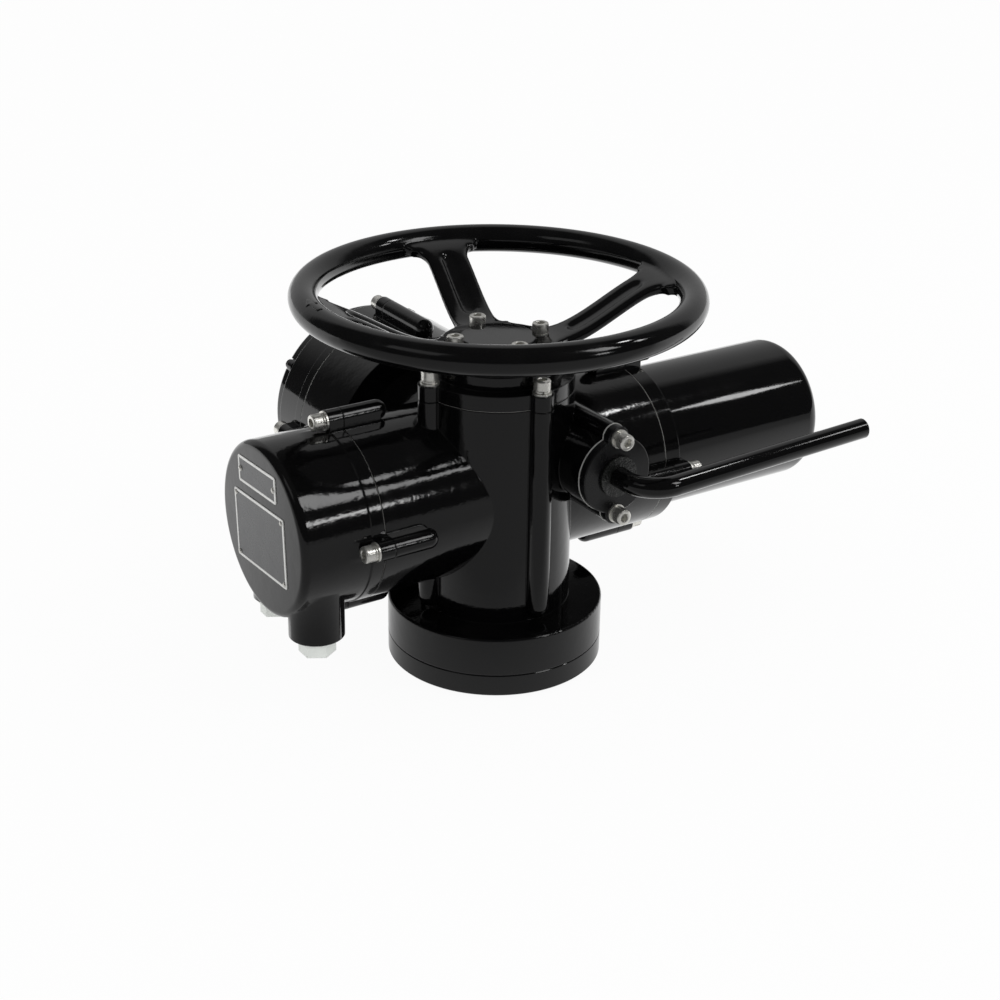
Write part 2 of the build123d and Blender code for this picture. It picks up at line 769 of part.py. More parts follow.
def cover_lip(plane, lip_r, lip_h, centre_radius, inner_r, depth):
    """Adds the bolting lip to a cover and hollows it out from the plane."""
    with BuildPart() as lip:
        disc(plane, lip_r, lip_h)
        chamfer(lip.faces().sort_by(Axis(plane.origin, plane.z_dir))[-1].edges(), lip_edge)
    add(lip.part)
    with BuildSketch(plane) as outline:
        boss_outline(centre_radius)
    extrude(outline.sketch, amount=lip_h + screw_seat)
    disc(plane, inner_r, depth, Mode.SUBTRACT)
    screw_holes(plane, centre_radius, m8_r + 0.5, lip_h + screw_seat)


# Motor cover: a deep cup with a bearing boss in its end wall
with BuildPart() as motor_cover:
    disc(motor_plane, motor_body_r, motor_length)
    fillet(motor_cover.faces().sort_by(Axis.X)[-1].edges(), motor_round)
    motor_inner_r = motor_body_r - motor_wall
    motor_depth = motor_length - motor_wall
    cover_lip(motor_plane, motor_neck_r, motor_lip, motor_screw_radius, motor_inner_r, motor_depth)
    rear_boss_r = motor_bearing[1] + 6
    tube(motor_axis.offset(rear_bearing_x), motor_bearing[1], rear_boss_r, motor_bearing[2] + 4.5)
save(motor_cover.part, "motor_cover")

# Terminal cover: a cup with two cable entries under it
with BuildPart() as terminal_cover:
    disc(terminal_plane, terminal_body_r, terminal_length)
    fillet(terminal_cover.faces().sort_by(Axis.X)[0].edges(), terminal_round)
    for y, tube_r, bore_r, flange_r, hexagon in entries:
        disc(Plane(origin=(entry_x, y, entry_bottom_z)), tube_r, side_z - entry_bottom_z)
    terminal_inner_r = terminal_body_r - terminal_wall
    terminal_depth = terminal_length - terminal_wall
    cover_lip(
        terminal_plane, terminal_r, terminal_lip, terminal_screw_radius, terminal_inner_r, terminal_depth
    )
    for y, tube_r, bore_r, flange_r, hexagon in entries:
        disc(Plane(origin=(entry_x, y, entry_bottom_z)), bore_r, side_z - entry_bottom_z, Mode.SUBTRACT)
save(terminal_cover.part, "terminal_cover")

with BuildPart() as cable_plugs:
    for y, tube_r, bore_r, flange_r, hexagon in entries:
        entry_plane = Plane(origin=(entry_x, y, entry_bottom_z))
        disc(entry_plane, bore_r - seat_gap, plug_shank)
        disc(entry_plane, flange_r, -plug_flange_h)
        with BuildSketch(entry_plane.offset(-plug_flange_h)):
            RegularPolygon(hexagon / sqrt(3), 6, rotation=30)
        extrude(amount=-plug_hex_h)
save(cable_plugs.part, "cable_plugs")

# Terminal block on the partition wall: a base with barriers, and its clamps
block_floor_x = partition_x - partition_wall
block_plane = Plane(origin=(block_floor_x, side_y, side_z), x_dir=(0, 1, 0), z_dir=(-1, 0, 0))
block_top = block_plane.offset(block_base_h)
with BuildPart() as terminal_block:
    with BuildSketch(block_plane):
        Rectangle(block_width, block_height)
    extrude(amount=block_base_h)
    with BuildSketch(block_top):
        Rectangle(block_width, 2 * barrier_w)
        with GridLocations(clamp_pitch, 0, clamp_count + 1, 1):
            Rectangle(barrier_w, block_height)
    extrude(amount=barrier_h)
save(terminal_block.part, "terminal_block")

with BuildPart() as terminal_clamps:
    with BuildSketch(block_top):
        with GridLocations(clamp_pitch, block_height / 2, clamp_count, 2):
            Rectangle(clamp_w, 1.5 * clamp_w)
    extrude(amount=barrier_h / 2)
save(terminal_clamps.part, "terminal_clamps")

# Control drum: cover, end plate with its lugs and screws, switch gear inside
with BuildPart() as control_cover:
    disc(drum_plane, drum_body_r, drum_length)
    fillet(control_cover.faces().sort_by(Axis.Y)[-1].edges(), 2.0)
    drum_inner_r = drum_body_r - drum_wall
    cover_lip(drum_plane, drum_r, drum_lip, drum_screw_radius, drum_inner_r, drum_length - drum_wall)
    disc(drum_plane, drum_opening_r, drum_length, Mode.SUBTRACT)
    screw_holes(
        drum_plane.offset(drum_length), end_lug_radius, m5_r - 0.2, -drum_wall, end_lug_count, end_lug_turn
    )
save(control_cover.part, "control_cover")

end_plane = drum_plane.offset(drum_length)
with BuildPart() as end_plate:
    disc(end_plane, end_plate_r, end_plate_h)
    fillet(end_plate.faces().sort_by(Axis.Y)[-1].edges(), end_plate_round)
    with BuildSketch(end_plane):
        with PolarLocations(end_lug_radius, end_lug_count, start_angle=end_lug_turn):
            Circle(end_lug_r)
    extrude(amount=end_lug_h)
    with BuildSketch(end_plane.offset(end_lug_h)):
        with PolarLocations(end_lug_radius, end_lug_count, start_angle=end_lug_turn):
            Circle(m5_head_r + 1)
    extrude(amount=end_plate_h, mode=Mode.SUBTRACT)
    screw_holes(end_plane, end_lug_radius, m5_r + loose_gap, end_lug_h, end_lug_count, end_lug_turn)
    disc(end_plane, drum_opening_r - seat_gap, -4)
    disc(end_plane.offset(-4), drum_opening_r - 8, end_plate_h - 2, Mode.SUBTRACT)
save(end_plate.part, "end_plate")

with BuildPart() as end_plate_screws:
    for seat in seats_on(end_plane, end_lug_radius, end_lug_h, end_lug_count, end_lug_turn):
        with Locations(seat):
            Cylinder(m5_head_r, m5_head_h, align=(Align.CENTER, Align.CENTER, Align.MIN))
            Cylinder(m5_r - 0.3, end_lug_h + 6, align=(Align.CENTER, Align.CENTER, Align.MAX))
save(end_plate_screws.part, "end_plate_screws")

floor_plane = Plane(origin=(0, drum_back_y + 8, drum_z), x_dir=(1, 0, 0), z_dir=(0, 1, 0))
with BuildPart() as switch_plate:
    disc(floor_plane, switch_plate_r, switch_plate_h)
    disc(switch_axis, switch_bush_r, drum_face_y, Mode.SUBTRACT)
save(switch_plate.part, "switch_plate")

# Switch units on the plate: the lower one is driven by the switch shaft
limit_middle = limit_low_z + limit_height / 2 - drum_z
torque_middle = limit_low_z + limit_height + torque_height / 2 + 4 - drum_z
unit_plane = floor_plane.offset(switch_plate_h)
with BuildPart() as limit_switches:
    with BuildSketch(unit_plane):
        with Locations((0, -limit_middle)):
            Rectangle(limit_width, limit_height)
    extrude(amount=unit_base_h)
    with BuildSketch(unit_plane.offset(unit_base_h)):
        with Locations((0, -limit_middle)):
            with GridLocations(0, limit_height / 4, 1, 4):
                Rectangle(limit_width - 8, limit_height / 6)
    extrude(amount=unit_top_h)
    disc(switch_axis, switch_shaft_r + loose_gap, switch_shaft_end_y + 1, Mode.SUBTRACT)
save(limit_switches.part, "limit_switches")

with BuildPart() as torque_switches:
    with BuildSketch(unit_plane):
        with Locations((0, -torque_middle)):
            Rectangle(torque_width, torque_height)
    extrude(amount=unit_base_h)
    with BuildSketch(unit_plane.offset(unit_base_h)):
        with Locations((0, -torque_middle)):
            with GridLocations(torque_width / 2, 0, 2, 1):
                Circle(torque_height / 4)
    extrude(amount=unit_top_h / 2)
save(torque_switches.part, "torque_switches")

# Switch drive: a crown gear on the sleeve turns a small shaft
with BuildPart() as crown_gear:
    tooth_foot_z = crown_z - 1.25 * crown_module
    crown_outer_r = crown_pitch_r + crown_face / 2
    tube(Plane.XY.offset(tooth_foot_z - crown_plate_h), sleeve_body_r, crown_outer_r, crown_plate_h)
    with BuildSketch(Plane.XY.offset(tooth_foot_z)):
        with PolarLocations(crown_pitch_r, crown_teeth):
            Rectangle(crown_face, crown_share * pi * crown_module)
    extrude(amount=2.2 * crown_module)
save(crown_gear.part, "crown_gear")

with BuildPart() as switch_shaft:
    pinion_y = crown_pitch_r - crown_face / 2
    with BuildSketch(switch_axis.offset(pinion_y)):
        spur_outline(crown_pinion_teeth, crown_module, crown_share, 90 + 180 / crown_pinion_teeth)
    extrude(amount=crown_face)
    disc(switch_axis.offset(pinion_y), switch_shaft_r, switch_shaft_end_y - pinion_y)
save(switch_shaft.part, "switch_shaft")

with BuildPart() as switch_bush:
    bush_inner_r = switch_shaft_r + running_gap
    bush_plane = switch_axis.offset(neck_floor_y)
    tube(bush_plane, bush_inner_r, switch_bush_r - seat_gap / 2, -switch_bush_length)
save(switch_bush.part, "switch_bush")

# Top cover: plate with four lobes, spigot, bearing hub and collar
with BuildPart() as top_cover:
    collar_top_z = column_cover_top_z + collar_h
    recess_z = column_cover_top_z + 4
    turned([
        (hand_bush_r, cover_hub_z),
        (cover_hub_r, cover_hub_z),
        (cover_hub_r, column_top_z - cover_spigot_h),
        (column_bore_r - seat_gap, column_top_z - cover_spigot_h),
        (column_bore_r - seat_gap, column_top_z),
        (column_r, column_top_z),
        (column_r, column_cover_top_z),
        (collar_r, column_cover_top_z),
        (collar_r, collar_top_z - 2),
        (collar_r - 2, collar_top_z),
        (collar_recess_r, collar_top_z),
        (collar_recess_r, recess_z),
        (hand_bush_r, recess_z),
    ])
    with BuildSketch(top_plane):
        with PolarLocations(rib_centre_r, 4):
            Circle(rib_r)
    extrude(amount=cover_h)
    screw_holes(top_plane, rib_centre_r, m8_r + 0.5, cover_h)
save(top_cover.part, "top_cover")

bush_h = column_cover_top_z - cover_hub_z
with BuildPart() as hand_bush:
    tube(Plane.XY.offset(cover_hub_z), hand_journal_r + running_gap, hand_bush_r - seat_gap / 2, bush_h - 2)
save(hand_bush.part, "hand_bush")

with BuildPart() as hand_seal:
    seal_z = column_cover_top_z - 2
    tube(Plane.XY.offset(seal_z), hand_journal_r + running_gap, hand_bush_r - seat_gap / 2, recess_z - seal_z)
save(hand_seal.part, "hand_seal")

# Hand drive sleeve with the dogs that the clutch ring meets
with BuildPart() as hand_sleeve:
    flange_top_z = hand_flange_z + hand_flange_h
    seat_top_z = hub_plate_z - 1
    step_z = sleeve_top_z + 2
    turned([
        (sleeve_top_r + running_gap, hand_flange_z),
        (hand_flange_r, hand_flange_z),
        (hand_flange_r, flange_top_z),
        (hand_journal_r, flange_top_z),
        (hand_journal_r, wheel_flange_z),
        (hand_seat_r, wheel_flange_z),
        (hand_seat_r, seat_top_z),
        (sleeve_bore_r, seat_top_z),
        (sleeve_bore_r, step_z),
        (sleeve_top_r + running_gap, step_z),
    ])
    with BuildSketch(Plane.XY.offset(hand_flange_z)):
        dog_sectors(0)
    extrude(amount=-dog_h)
save(hand_sleeve.part, "hand_sleeve")

with BuildPart() as wheel_flange:
    tube(Plane.XY.offset(wheel_flange_z), hand_seat_r, wheel_flange_r, hub_plate_z - wheel_flange_z)
    screw_holes(Plane.XY.offset(hub_plate_z), hub_screw_radius, m8_r, wheel_flange_z - hub_plate_z,
                start=hub_screw_angle)
save(wheel_flange.part, "wheel_flange")

# Clutch ring: slides on the sleeve's splines, moved by a pin in its groove
with BuildPart() as clutch_ring:
    turned([
        (sleeve_spline_r + running_gap, ring_foot_z),
        (dog_outer_r, ring_foot_z),
        (dog_outer_r, ring_low_z),
        (ring_r, ring_low_z),
        (ring_r, groove_low_z),
        (groove_r, groove_low_z),
        (groove_r, groove_high_z),
        (ring_r, groove_high_z),
        (ring_r, ring_high_z),
        (sleeve_spline_r + running_gap, ring_high_z),
    ])
    with BuildSketch(Plane.XY.offset(ring_foot_z)):
        with PolarLocations(sleeve_spline_r, 4):
            Rectangle(2 * spline_reach + 2 * running_gap, spline_width + 4 * running_gap)
    extrude(amount=ring_high_z - ring_foot_z, mode=Mode.SUBTRACT)
    for height, reach in ((ring_foot_z, -dog_h), (ring_high_z, dog_h)):
        with BuildSketch(Plane.XY.offset(height)):
            dog_sectors(ring_dog_turn)
        extrude(amount=reach)
save(clutch_ring.part, "clutch_ring")

# Lever: one bent rod whose inner end carries the crank
crank_plane = Plane(origin=(lever_x, crank_y, lever_z), x_dir=(1, 0, 0), z_dir=(0, -1, 0))
with BuildPart() as lever:
    rod_rise = (lever_end_x - lever_x) * tan(radians(lever_slope))
    with BuildLine():
        FilletPolyline(
            (lever_x, crank_y, lever_z),
            (lever_x, lever_rod_y, lever_z),
            (lever_end_x, lever_rod_y, lever_z + rod_rise),
            radius=lever_bend_r,
        )
    with BuildSketch(crank_plane):
        Circle(lever_rod_r)
    sweep()
    chamfer(lever.faces().sort_by(Axis.X)[-1].edges(), 1.0)
save(lever.part, "lever")

with BuildPart() as shift_crank:
    disc(crank_plane, crank_r, crank_h)
    disc(crank_plane, lever_rod_r, crank_h, Mode.SUBTRACT)
    pin_x = -crank_throw * cos(radians(crank_rest))
    pin_z = pin_rest_z - lever_z
    with BuildSketch(crank_plane):
        with Locations((pin_x, pin_z)):
            Circle(crank_pin_r)
    extrude(amount=crank_y - crank_pin_tip_y)
save(shift_crank.part, "shift_crank")

with BuildPart() as lever_flange:
    with BuildSketch(lever_plane.offset(lever_gasket_h)):
        lever_outline()
    extrude(amount=lever_plate_h - lever_gasket_h)
    chamfer(lever_flange.faces().sort_by(Axis.Y)[0].edges(), 0.8)
    disc(lever_plane, lever_bush_outer_r, lever_plate_h, Mode.SUBTRACT)
    screw_holes(lever_plane, lever_ear, m8_r + 0.5, lever_plate_h, 2, 90)
save(lever_flange.part, "lever_flange")

with BuildPart() as lever_gasket:
    with BuildSketch(lever_plane):
        lever_outline(lever_gasket_edge)
    extrude(amount=lever_gasket_h)
    disc(lever_plane, lever_bush_outer_r, lever_gasket_h, Mode.SUBTRACT)
    screw_holes(lever_plane, lever_ear, m8_r + 0.5, lever_gasket_h, 2, 90)
save(lever_gasket.part, "lever_gasket")

with BuildPart() as lever_bush:
    disc(lever_plane, lever_bush_outer_r - seat_gap, lever_plate_h)
    disc(lever_plane.offset(lever_plate_h), lever_bush_r, lever_bush_h)
    disc(lever_plane, lever_rod_r + running_gap, lever_plate_h + lever_bush_h, Mode.SUBTRACT)
save(lever_bush.part, "lever_bush")


# Handwheel: round rim, hub plate and four dished, channelled spokes
def closed_band(plane, first_edge, last_edge):
    """A face between two smooth edges, each given as a list of points."""
    with BuildSketch(plane) as band:
        with BuildLine():
            Spline(*first_edge)
            Line(first_edge[-1], last_edge[0])
            Spline(*last_edge)
            Line(last_edge[-1], first_edge[0])
        make_face()
    return band.sketch


def spoke_side(lift, drop):
    """Side view of a spoke: a band that follows the dish, above and below its line."""
    upper = [(r, z + lift) for r, z in spoke_line]
    lower = [(r, z - drop) for r, z in reversed(spoke_line)]
    return closed_band(Plane.XZ, upper, lower)


def spoke_width(r):
    """Half width of a spoke: waisted, flared toward the hub and the rim."""
    inner = max(0.0, (spoke_waist_start_r - r) / (spoke_waist_start_r - spoke_root_r))
    outer = max(0.0, (r - spoke_waist_end_r) / (rim_r - spoke_waist_end_r))
    return spoke_half + spoke_root_flare * inner ** 2 + spoke_tip_flare * outer ** 2


hub_top_z = hub_plate_z + hub_plate_h
spoke_start_z = hub_plate_z + hub_plate_h / 2
spoke_line = []
for k in range(spoke_points):
    share = k / (spoke_points - 1)
    dish_share = (1 - cos(pi * share)) / 2
    radius = spoke_root_r + share * (rim_r - spoke_root_r)
    spoke_line.append((radius, spoke_start_z + dish_share * (rim_z - spoke_start_z)))

spoke_base = Plane.XY.offset(hub_plate_z - spoke_depth)
spoke_box_h = rim_z - hub_plate_z + 4 * spoke_depth
with BuildPart() as spoke:
    extrude(spoke_side(spoke_depth / 2, spoke_depth / 2), amount=3 * spoke_half, both=True)
    near = [(r, spoke_width(r)) for r, z in spoke_line]
    far = [(r, -spoke_width(r)) for r, z in reversed(spoke_line)]
    extrude(closed_band(spoke_base, near, far), amount=spoke_box_h, mode=Mode.INTERSECT)
with BuildPart() as channel:
    extrude(spoke_side(2 * spoke_depth, channel_depth - spoke_depth / 2), amount=channel_half, both=True)
    with BuildSketch(spoke_base) as top_view:
        with Locations(((channel_start_r + channel_end_r) / 2, 0)):
            SlotOverall(channel_end_r - channel_start_r, 2 * channel_half)
    extrude(top_view.sketch, amount=spoke_box_h, mode=Mode.INTERSECT)

with BuildPart() as handwheel:
    disc(Plane.XY.offset(hub_plate_z), hub_r, hub_plate_h)
    chamfer(handwheel.faces().sort_by(Axis.Z)[-1].edges(), 0.8)
    with PolarLocations(0, spoke_count, start_angle=spoke_angle):
        add(spoke.part)
    with PolarLocations(0, spoke_count, start_angle=spoke_angle):
        add(channel.part, mode=Mode.SUBTRACT)
    disc(Plane.XY.offset(hub_plate_z - spoke_depth), wheel_flange_r + 1, spoke_depth, Mode.SUBTRACT)
    cap_floor_z = hub_top_z - hub_cap_depth
    disc(Plane.XY.offset(cap_floor_z), hub_cap_r + seat_gap, hub_cap_h, Mode.SUBTRACT)
    disc(Plane.XY.offset(hub_plate_z), hand_seat_r - 2, hub_plate_h, Mode.SUBTRACT)
    screw_holes(Plane.XY.offset(hub_plate_z), hub_screw_radius, m8_r + 0.5, 3 * hub_plate_h,
                start=hub_screw_angle)
    screw_holes(Plane.XY.offset(hub_top_z), hub_screw_radius, m8_head_r + loose_gap, hub_plate_h,
                start=hub_screw_angle)
    with Locations((0, 0, rim_z)):
        Torus(rim_r, rim_tube_r)
save(handwheel.part, "handwheel")

with BuildPart() as hub_cap:
    disc(Plane.XY.offset(cap_floor_z), hub_cap_r, hub_cap_h)
    chamfer(hub_cap.faces().sort_by(Axis.Z)[-1].edges(), 0.5)
save(hub_cap.part, "hub_cap")

# Sealing rings of the four bolted joints
for name, (plane, radius) in zip(seal_names, seal_seats):
    with BuildPart() as joint_seal:
        seal_ring(plane, radius, 0)
    save(joint_seal.part, f"{name}_seal")

# Screws with their washers
cover_seats = seats_on(top_plane, rib_centre_r, cover_h)
cover_seats += seats_on(motor_plane, motor_screw_radius, motor_lip + screw_seat)
cover_seats += seats_on(terminal_plane, terminal_screw_radius, terminal_lip + screw_seat)
cover_seats += seats_on(drum_plane, drum_screw_radius, drum_lip + screw_seat)
cover_seats += seats_on(lever_plane, lever_ear, lever_plate_h, 2, 90)
fasteners("cover", cover_seats)

hub_top = Plane.XY.offset(hub_top_z)
fasteners("hub", seats_on(hub_top, hub_screw_radius, 0, 4, hub_screw_angle), hub_screw_length, 0)
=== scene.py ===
# %% [markdown]
# # A valve drive in gloss black
# The object is an electric drive for a pipeline valve: an iron column with a handwheel on top, a motor,
# a terminal box, a control drum and a bent lever. Its solids come ready made from CAD. This lesson
# dresses them: it lights them as in a studio, paints them, and models the parts that need finer form,
# such as the cast handwheel, the screws and the bare plates on the terminal box.

# %% Load the model
import json
from math import hypot, cos, pi, radians, sin, tan

import bmesh
import bpy
from mathutils import Matrix, Vector


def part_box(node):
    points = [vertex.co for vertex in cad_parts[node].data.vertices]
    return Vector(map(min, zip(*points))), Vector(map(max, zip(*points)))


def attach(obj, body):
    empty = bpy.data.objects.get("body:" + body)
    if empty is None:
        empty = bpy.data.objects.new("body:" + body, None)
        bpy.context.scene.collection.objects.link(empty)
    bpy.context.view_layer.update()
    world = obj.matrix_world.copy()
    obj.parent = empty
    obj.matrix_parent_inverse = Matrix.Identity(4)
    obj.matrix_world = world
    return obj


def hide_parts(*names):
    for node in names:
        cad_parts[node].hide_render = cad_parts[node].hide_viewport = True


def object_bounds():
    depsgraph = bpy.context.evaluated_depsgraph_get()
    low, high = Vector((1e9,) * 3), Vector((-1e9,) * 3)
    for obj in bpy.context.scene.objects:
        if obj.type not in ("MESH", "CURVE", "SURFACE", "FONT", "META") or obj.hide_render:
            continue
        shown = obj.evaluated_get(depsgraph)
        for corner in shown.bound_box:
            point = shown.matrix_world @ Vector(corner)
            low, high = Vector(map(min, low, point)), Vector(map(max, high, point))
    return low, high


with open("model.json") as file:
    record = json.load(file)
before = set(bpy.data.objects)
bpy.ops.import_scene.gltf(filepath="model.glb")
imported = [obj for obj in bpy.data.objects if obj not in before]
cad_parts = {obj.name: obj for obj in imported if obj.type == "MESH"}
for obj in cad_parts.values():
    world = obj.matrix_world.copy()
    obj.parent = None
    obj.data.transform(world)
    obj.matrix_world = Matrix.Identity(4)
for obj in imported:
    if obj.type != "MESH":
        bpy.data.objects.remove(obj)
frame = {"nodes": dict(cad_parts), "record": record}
cad_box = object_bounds()
nodes = frame["nodes"]
print("pieces from CAD:", len(nodes))

# %% [markdown]
# ## Camera
# The photograph was taken from the left front, 25 degrees above the floor, with a long lens. A camera
# could be aimed with a Track To constraint, but the photograph is also tilted by almost a degree, and a
# matrix built from the three directions of the camera holds that tilt as well.

# %% Camera at the photograph's place
turn = radians(-33.28)
height = radians(24.55)
tilt = radians(0.88)
distance = 1.4738
back = Vector((sin(turn) * cos(height), -cos(turn) * cos(height), sin(height)))
level_right = Vector((cos(turn), sin(turn), 0.0))
level_up = back.cross(level_right)
right = level_right * cos(tilt) + level_up * sin(tilt)
up = level_up * cos(tilt) - level_right * sin(tilt)
target = level_right * 0.00334 + Vector((0.0, 0.0, 0.1302))

lens = bpy.data.cameras.new("studio_camera")
lens.sensor_width = 36.0
lens.lens = 66.07
lens.clip_end = 40.0
camera = bpy.data.objects.new("studio_camera", lens)
place = Matrix((right, up, back)).transposed().to_4x4()
place.translation = target + back * distance
camera.matrix_world = place
bpy.context.scene.collection.objects.link(camera)
bpy.context.scene.camera = camera
bpy.context.scene.view_settings.view_transform = "Standard"
print("camera stands at", [round(v, 3) for v in place.translation])

# %% [markdown]
# ## Floor, backdrop and lamps
# Gloss black paint shows nothing but what it reflects, so the lamps draw the object. Large soft lamps
# give broad pale bands on the round housings and narrow ones give the thin white streaks. The white
# of the background isn't light: the floor and the world only look white to the camera, which the
# Light Path node tells apart from the rays that light the object.

# %% A helper for node trees
def new_material(name):
    material = bpy.data.materials.new(name)
    material.use_nodes = True
    material.node_tree.nodes.clear()
    return material


def add_node(tree, kind, **values):
    node = tree.nodes.new(kind)
    for key, value in values.items():
        setattr(node, key, value)
    return node


# %% Floor
floor_size = 14.0
camera_share = 0.95
glossy_share = 0.75
away = Vector((-sin(turn), cos(turn), 0.0))
floor_levels = (-0.22, 0.16, 0.3, 1.3)
floor_z = cad_box[0][2]
sheet = bmesh.new()
bmesh.ops.create_grid(sheet, x_segments=1, y_segments=1, size=floor_size / 2)
bmesh.ops.translate(sheet, verts=sheet.verts, vec=(0.0, 0.0, floor_z))
floor_mesh = bpy.data.meshes.new("floor")
sheet.to_mesh(floor_mesh)
sheet.free()
floor = bpy.data.objects.new("floor", floor_mesh)
bpy.context.scene.collection.objects.link(floor)

floor_paint = new_material("floor_paint")
tree = floor_paint.node_tree
surface = add_node(tree, "ShaderNodeBsdfDiffuse")
surface.inputs["Color"].default_value = (0.86, 0.86, 0.86, 1.0)
paper = add_node(tree, "ShaderNodeEmission")
paper.inputs["Color"].default_value = (1.0, 1.0, 1.0, 1.0)
paper.inputs["Strength"].default_value = 1.0
mirrored = add_node(tree, "ShaderNodeEmission")
mirrored.inputs["Color"].default_value = (1.0, 1.0, 1.0, 1.0)
rays = add_node(tree, "ShaderNodeLightPath")
share = add_node(tree, "ShaderNodeMath", operation="MULTIPLY")
share.inputs[1].default_value = camera_share
shine = add_node(tree, "ShaderNodeMath", operation="MULTIPLY")
shine.inputs[1].default_value = glossy_share
coords = add_node(tree, "ShaderNodeTexCoord")
depth = add_node(tree, "ShaderNodeVectorMath", operation="DOT_PRODUCT")
depth.inputs[1].default_value = away
level = add_node(tree, "ShaderNodeMapRange")
for socket, value in zip(("From Min", "From Max", "To Min", "To Max"), floor_levels):
    level.inputs[socket].default_value = value
seen = add_node(tree, "ShaderNodeMixShader")
mix = add_node(tree, "ShaderNodeMixShader")
output = add_node(tree, "ShaderNodeOutputMaterial")
tree.links.new(coords.outputs["Object"], depth.inputs[0])
tree.links.new(depth.outputs["Value"], level.inputs["Value"])
tree.links.new(level.outputs[0], mirrored.inputs["Strength"])
tree.links.new(rays.outputs["Is Camera Ray"], share.inputs[0])
tree.links.new(rays.outputs["Is Glossy Ray"], shine.inputs[0])
tree.links.new(share.outputs[0], seen.inputs["Fac"])
tree.links.new(surface.outputs[0], seen.inputs[1])
tree.links.new(paper.outputs[0], seen.inputs[2])
tree.links.new(shine.outputs[0], mix.inputs["Fac"])
tree.links.new(seen.outputs[0], mix.inputs[1])
tree.links.new(mirrored.outputs[0], mix.inputs[2])
tree.links.new(mix.outputs[0], output.inputs["Surface"])
floor_mesh.materials.append(floor_paint)
print("floor lies at", round(floor_z, 4))

# %% World
room_level = 0.75
mirror_levels = (0.44, 0.6, 0.06, 0.47)
world = bpy.data.worlds.new("studio")
bpy.context.scene.world = world
world.use_nodes = True
tree = world.node_tree
tree.nodes.clear()
room = add_node(tree, "ShaderNodeBackground")
room.inputs["Strength"].default_value = room_level
white = add_node(tree, "ShaderNodeBackground")
white.inputs["Strength"].default_value = 1.0
mirrored = add_node(tree, "ShaderNodeBackground")
for background in (room, white, mirrored):
    background.inputs["Color"].default_value = (1.0, 1.0, 1.0, 1.0)
coords = add_node(tree, "ShaderNodeTexCoord")
depth = add_node(tree, "ShaderNodeVectorMath", operation="DOT_PRODUCT")
depth.inputs[1].default_value = away
level = add_node(tree, "ShaderNodeMapRange")
for socket, value in zip(("From Min", "From Max", "To Min", "To Max"), mirror_levels):
    level.inputs[socket].default_value = value
rays = add_node(tree, "ShaderNodeLightPath")
seen = add_node(tree, "ShaderNodeMath", operation="MAXIMUM")
clear = add_node(tree, "ShaderNodeMixShader")
mix = add_node(tree, "ShaderNodeMixShader")
output = add_node(tree, "ShaderNodeOutputWorld")
tree.links.new(coords.outputs["Generated"], depth.inputs[0])
tree.links.new(depth.outputs["Value"], level.inputs["Value"])
tree.links.new(level.outputs[0], mirrored.inputs["Strength"])
tree.links.new(rays.outputs["Is Glossy Ray"], clear.inputs["Fac"])
tree.links.new(room.outputs[0], clear.inputs[1])
tree.links.new(mirrored.outputs[0], clear.inputs[2])
tree.links.new(rays.outputs["Is Camera Ray"], seen.inputs[0])
tree.links.new(rays.outputs["Is Transmission Ray"], seen.inputs[1])
tree.links.new(seen.outputs[0], mix.inputs["Fac"])
tree.links.new(clear.outputs[0], mix.inputs[1])
tree.links.new(white.outputs[0], mix.inputs[2])
tree.links.new(mix.outputs[0], output.inputs["Surface"])
print("room level", room_level)


# %% Lamps
def soft_lamp(name, compass, above, away, size, power):
    """A flat lamp that faces the object. Compass runs from +Y over +X, in degrees."""
    lamp = bpy.data.lights.new(name, "AREA")
    lamp.shape = "RECTANGLE"
    lamp.size, lamp.size_y = size
    lamp.energy = power
    direction = Vector((
        sin(radians(compass)) * cos(radians(above)),
        cos(radians(compass)) * cos(radians(above)),
        sin(radians(above)),
    ))
    holder = bpy.data.objects.new(name, lamp)
    holder.rotation_euler = direction.to_track_quat("Z", "Y").to_euler()
    holder.location = Vector((0.0, 0.0, 0.15)) + direction * away
    bpy.context.scene.collection.objects.link(holder)
    print(name, "shines with", power, "W")


soft_lamp("key_lamp", 148.4, 43, 2.6, (0.51, 0.8), 7.1)
soft_lamp("strip_lamp", 157.4, 19, 2.6, (0.28, 0.17), 2.1)
soft_lamp("motor_lamp", 122.6, 38.5, 2.6, (0.2, 0.24), 1.7)
soft_lamp("neck_lamp", 114.5, 52.5, 2.6, (0.18, 0.2), 3.0)
soft_lamp("left_lamp", 262, 40, 3.0, (1.4, 0.9), 2.2)

# %% [markdown]
# ## Gloss paint
# The housings are cast iron under thick gloss enamel. The enamel is smooth but never flat: it keeps a
# fine orange peel and a slow waviness from the casting below, and both break the edges of the
# reflections. Where two walls meet, the paint also rounds the corner. Two noises in a Bump node give
# the skin and a Bevel node the round corner, and since several paints need them, they are a node group.

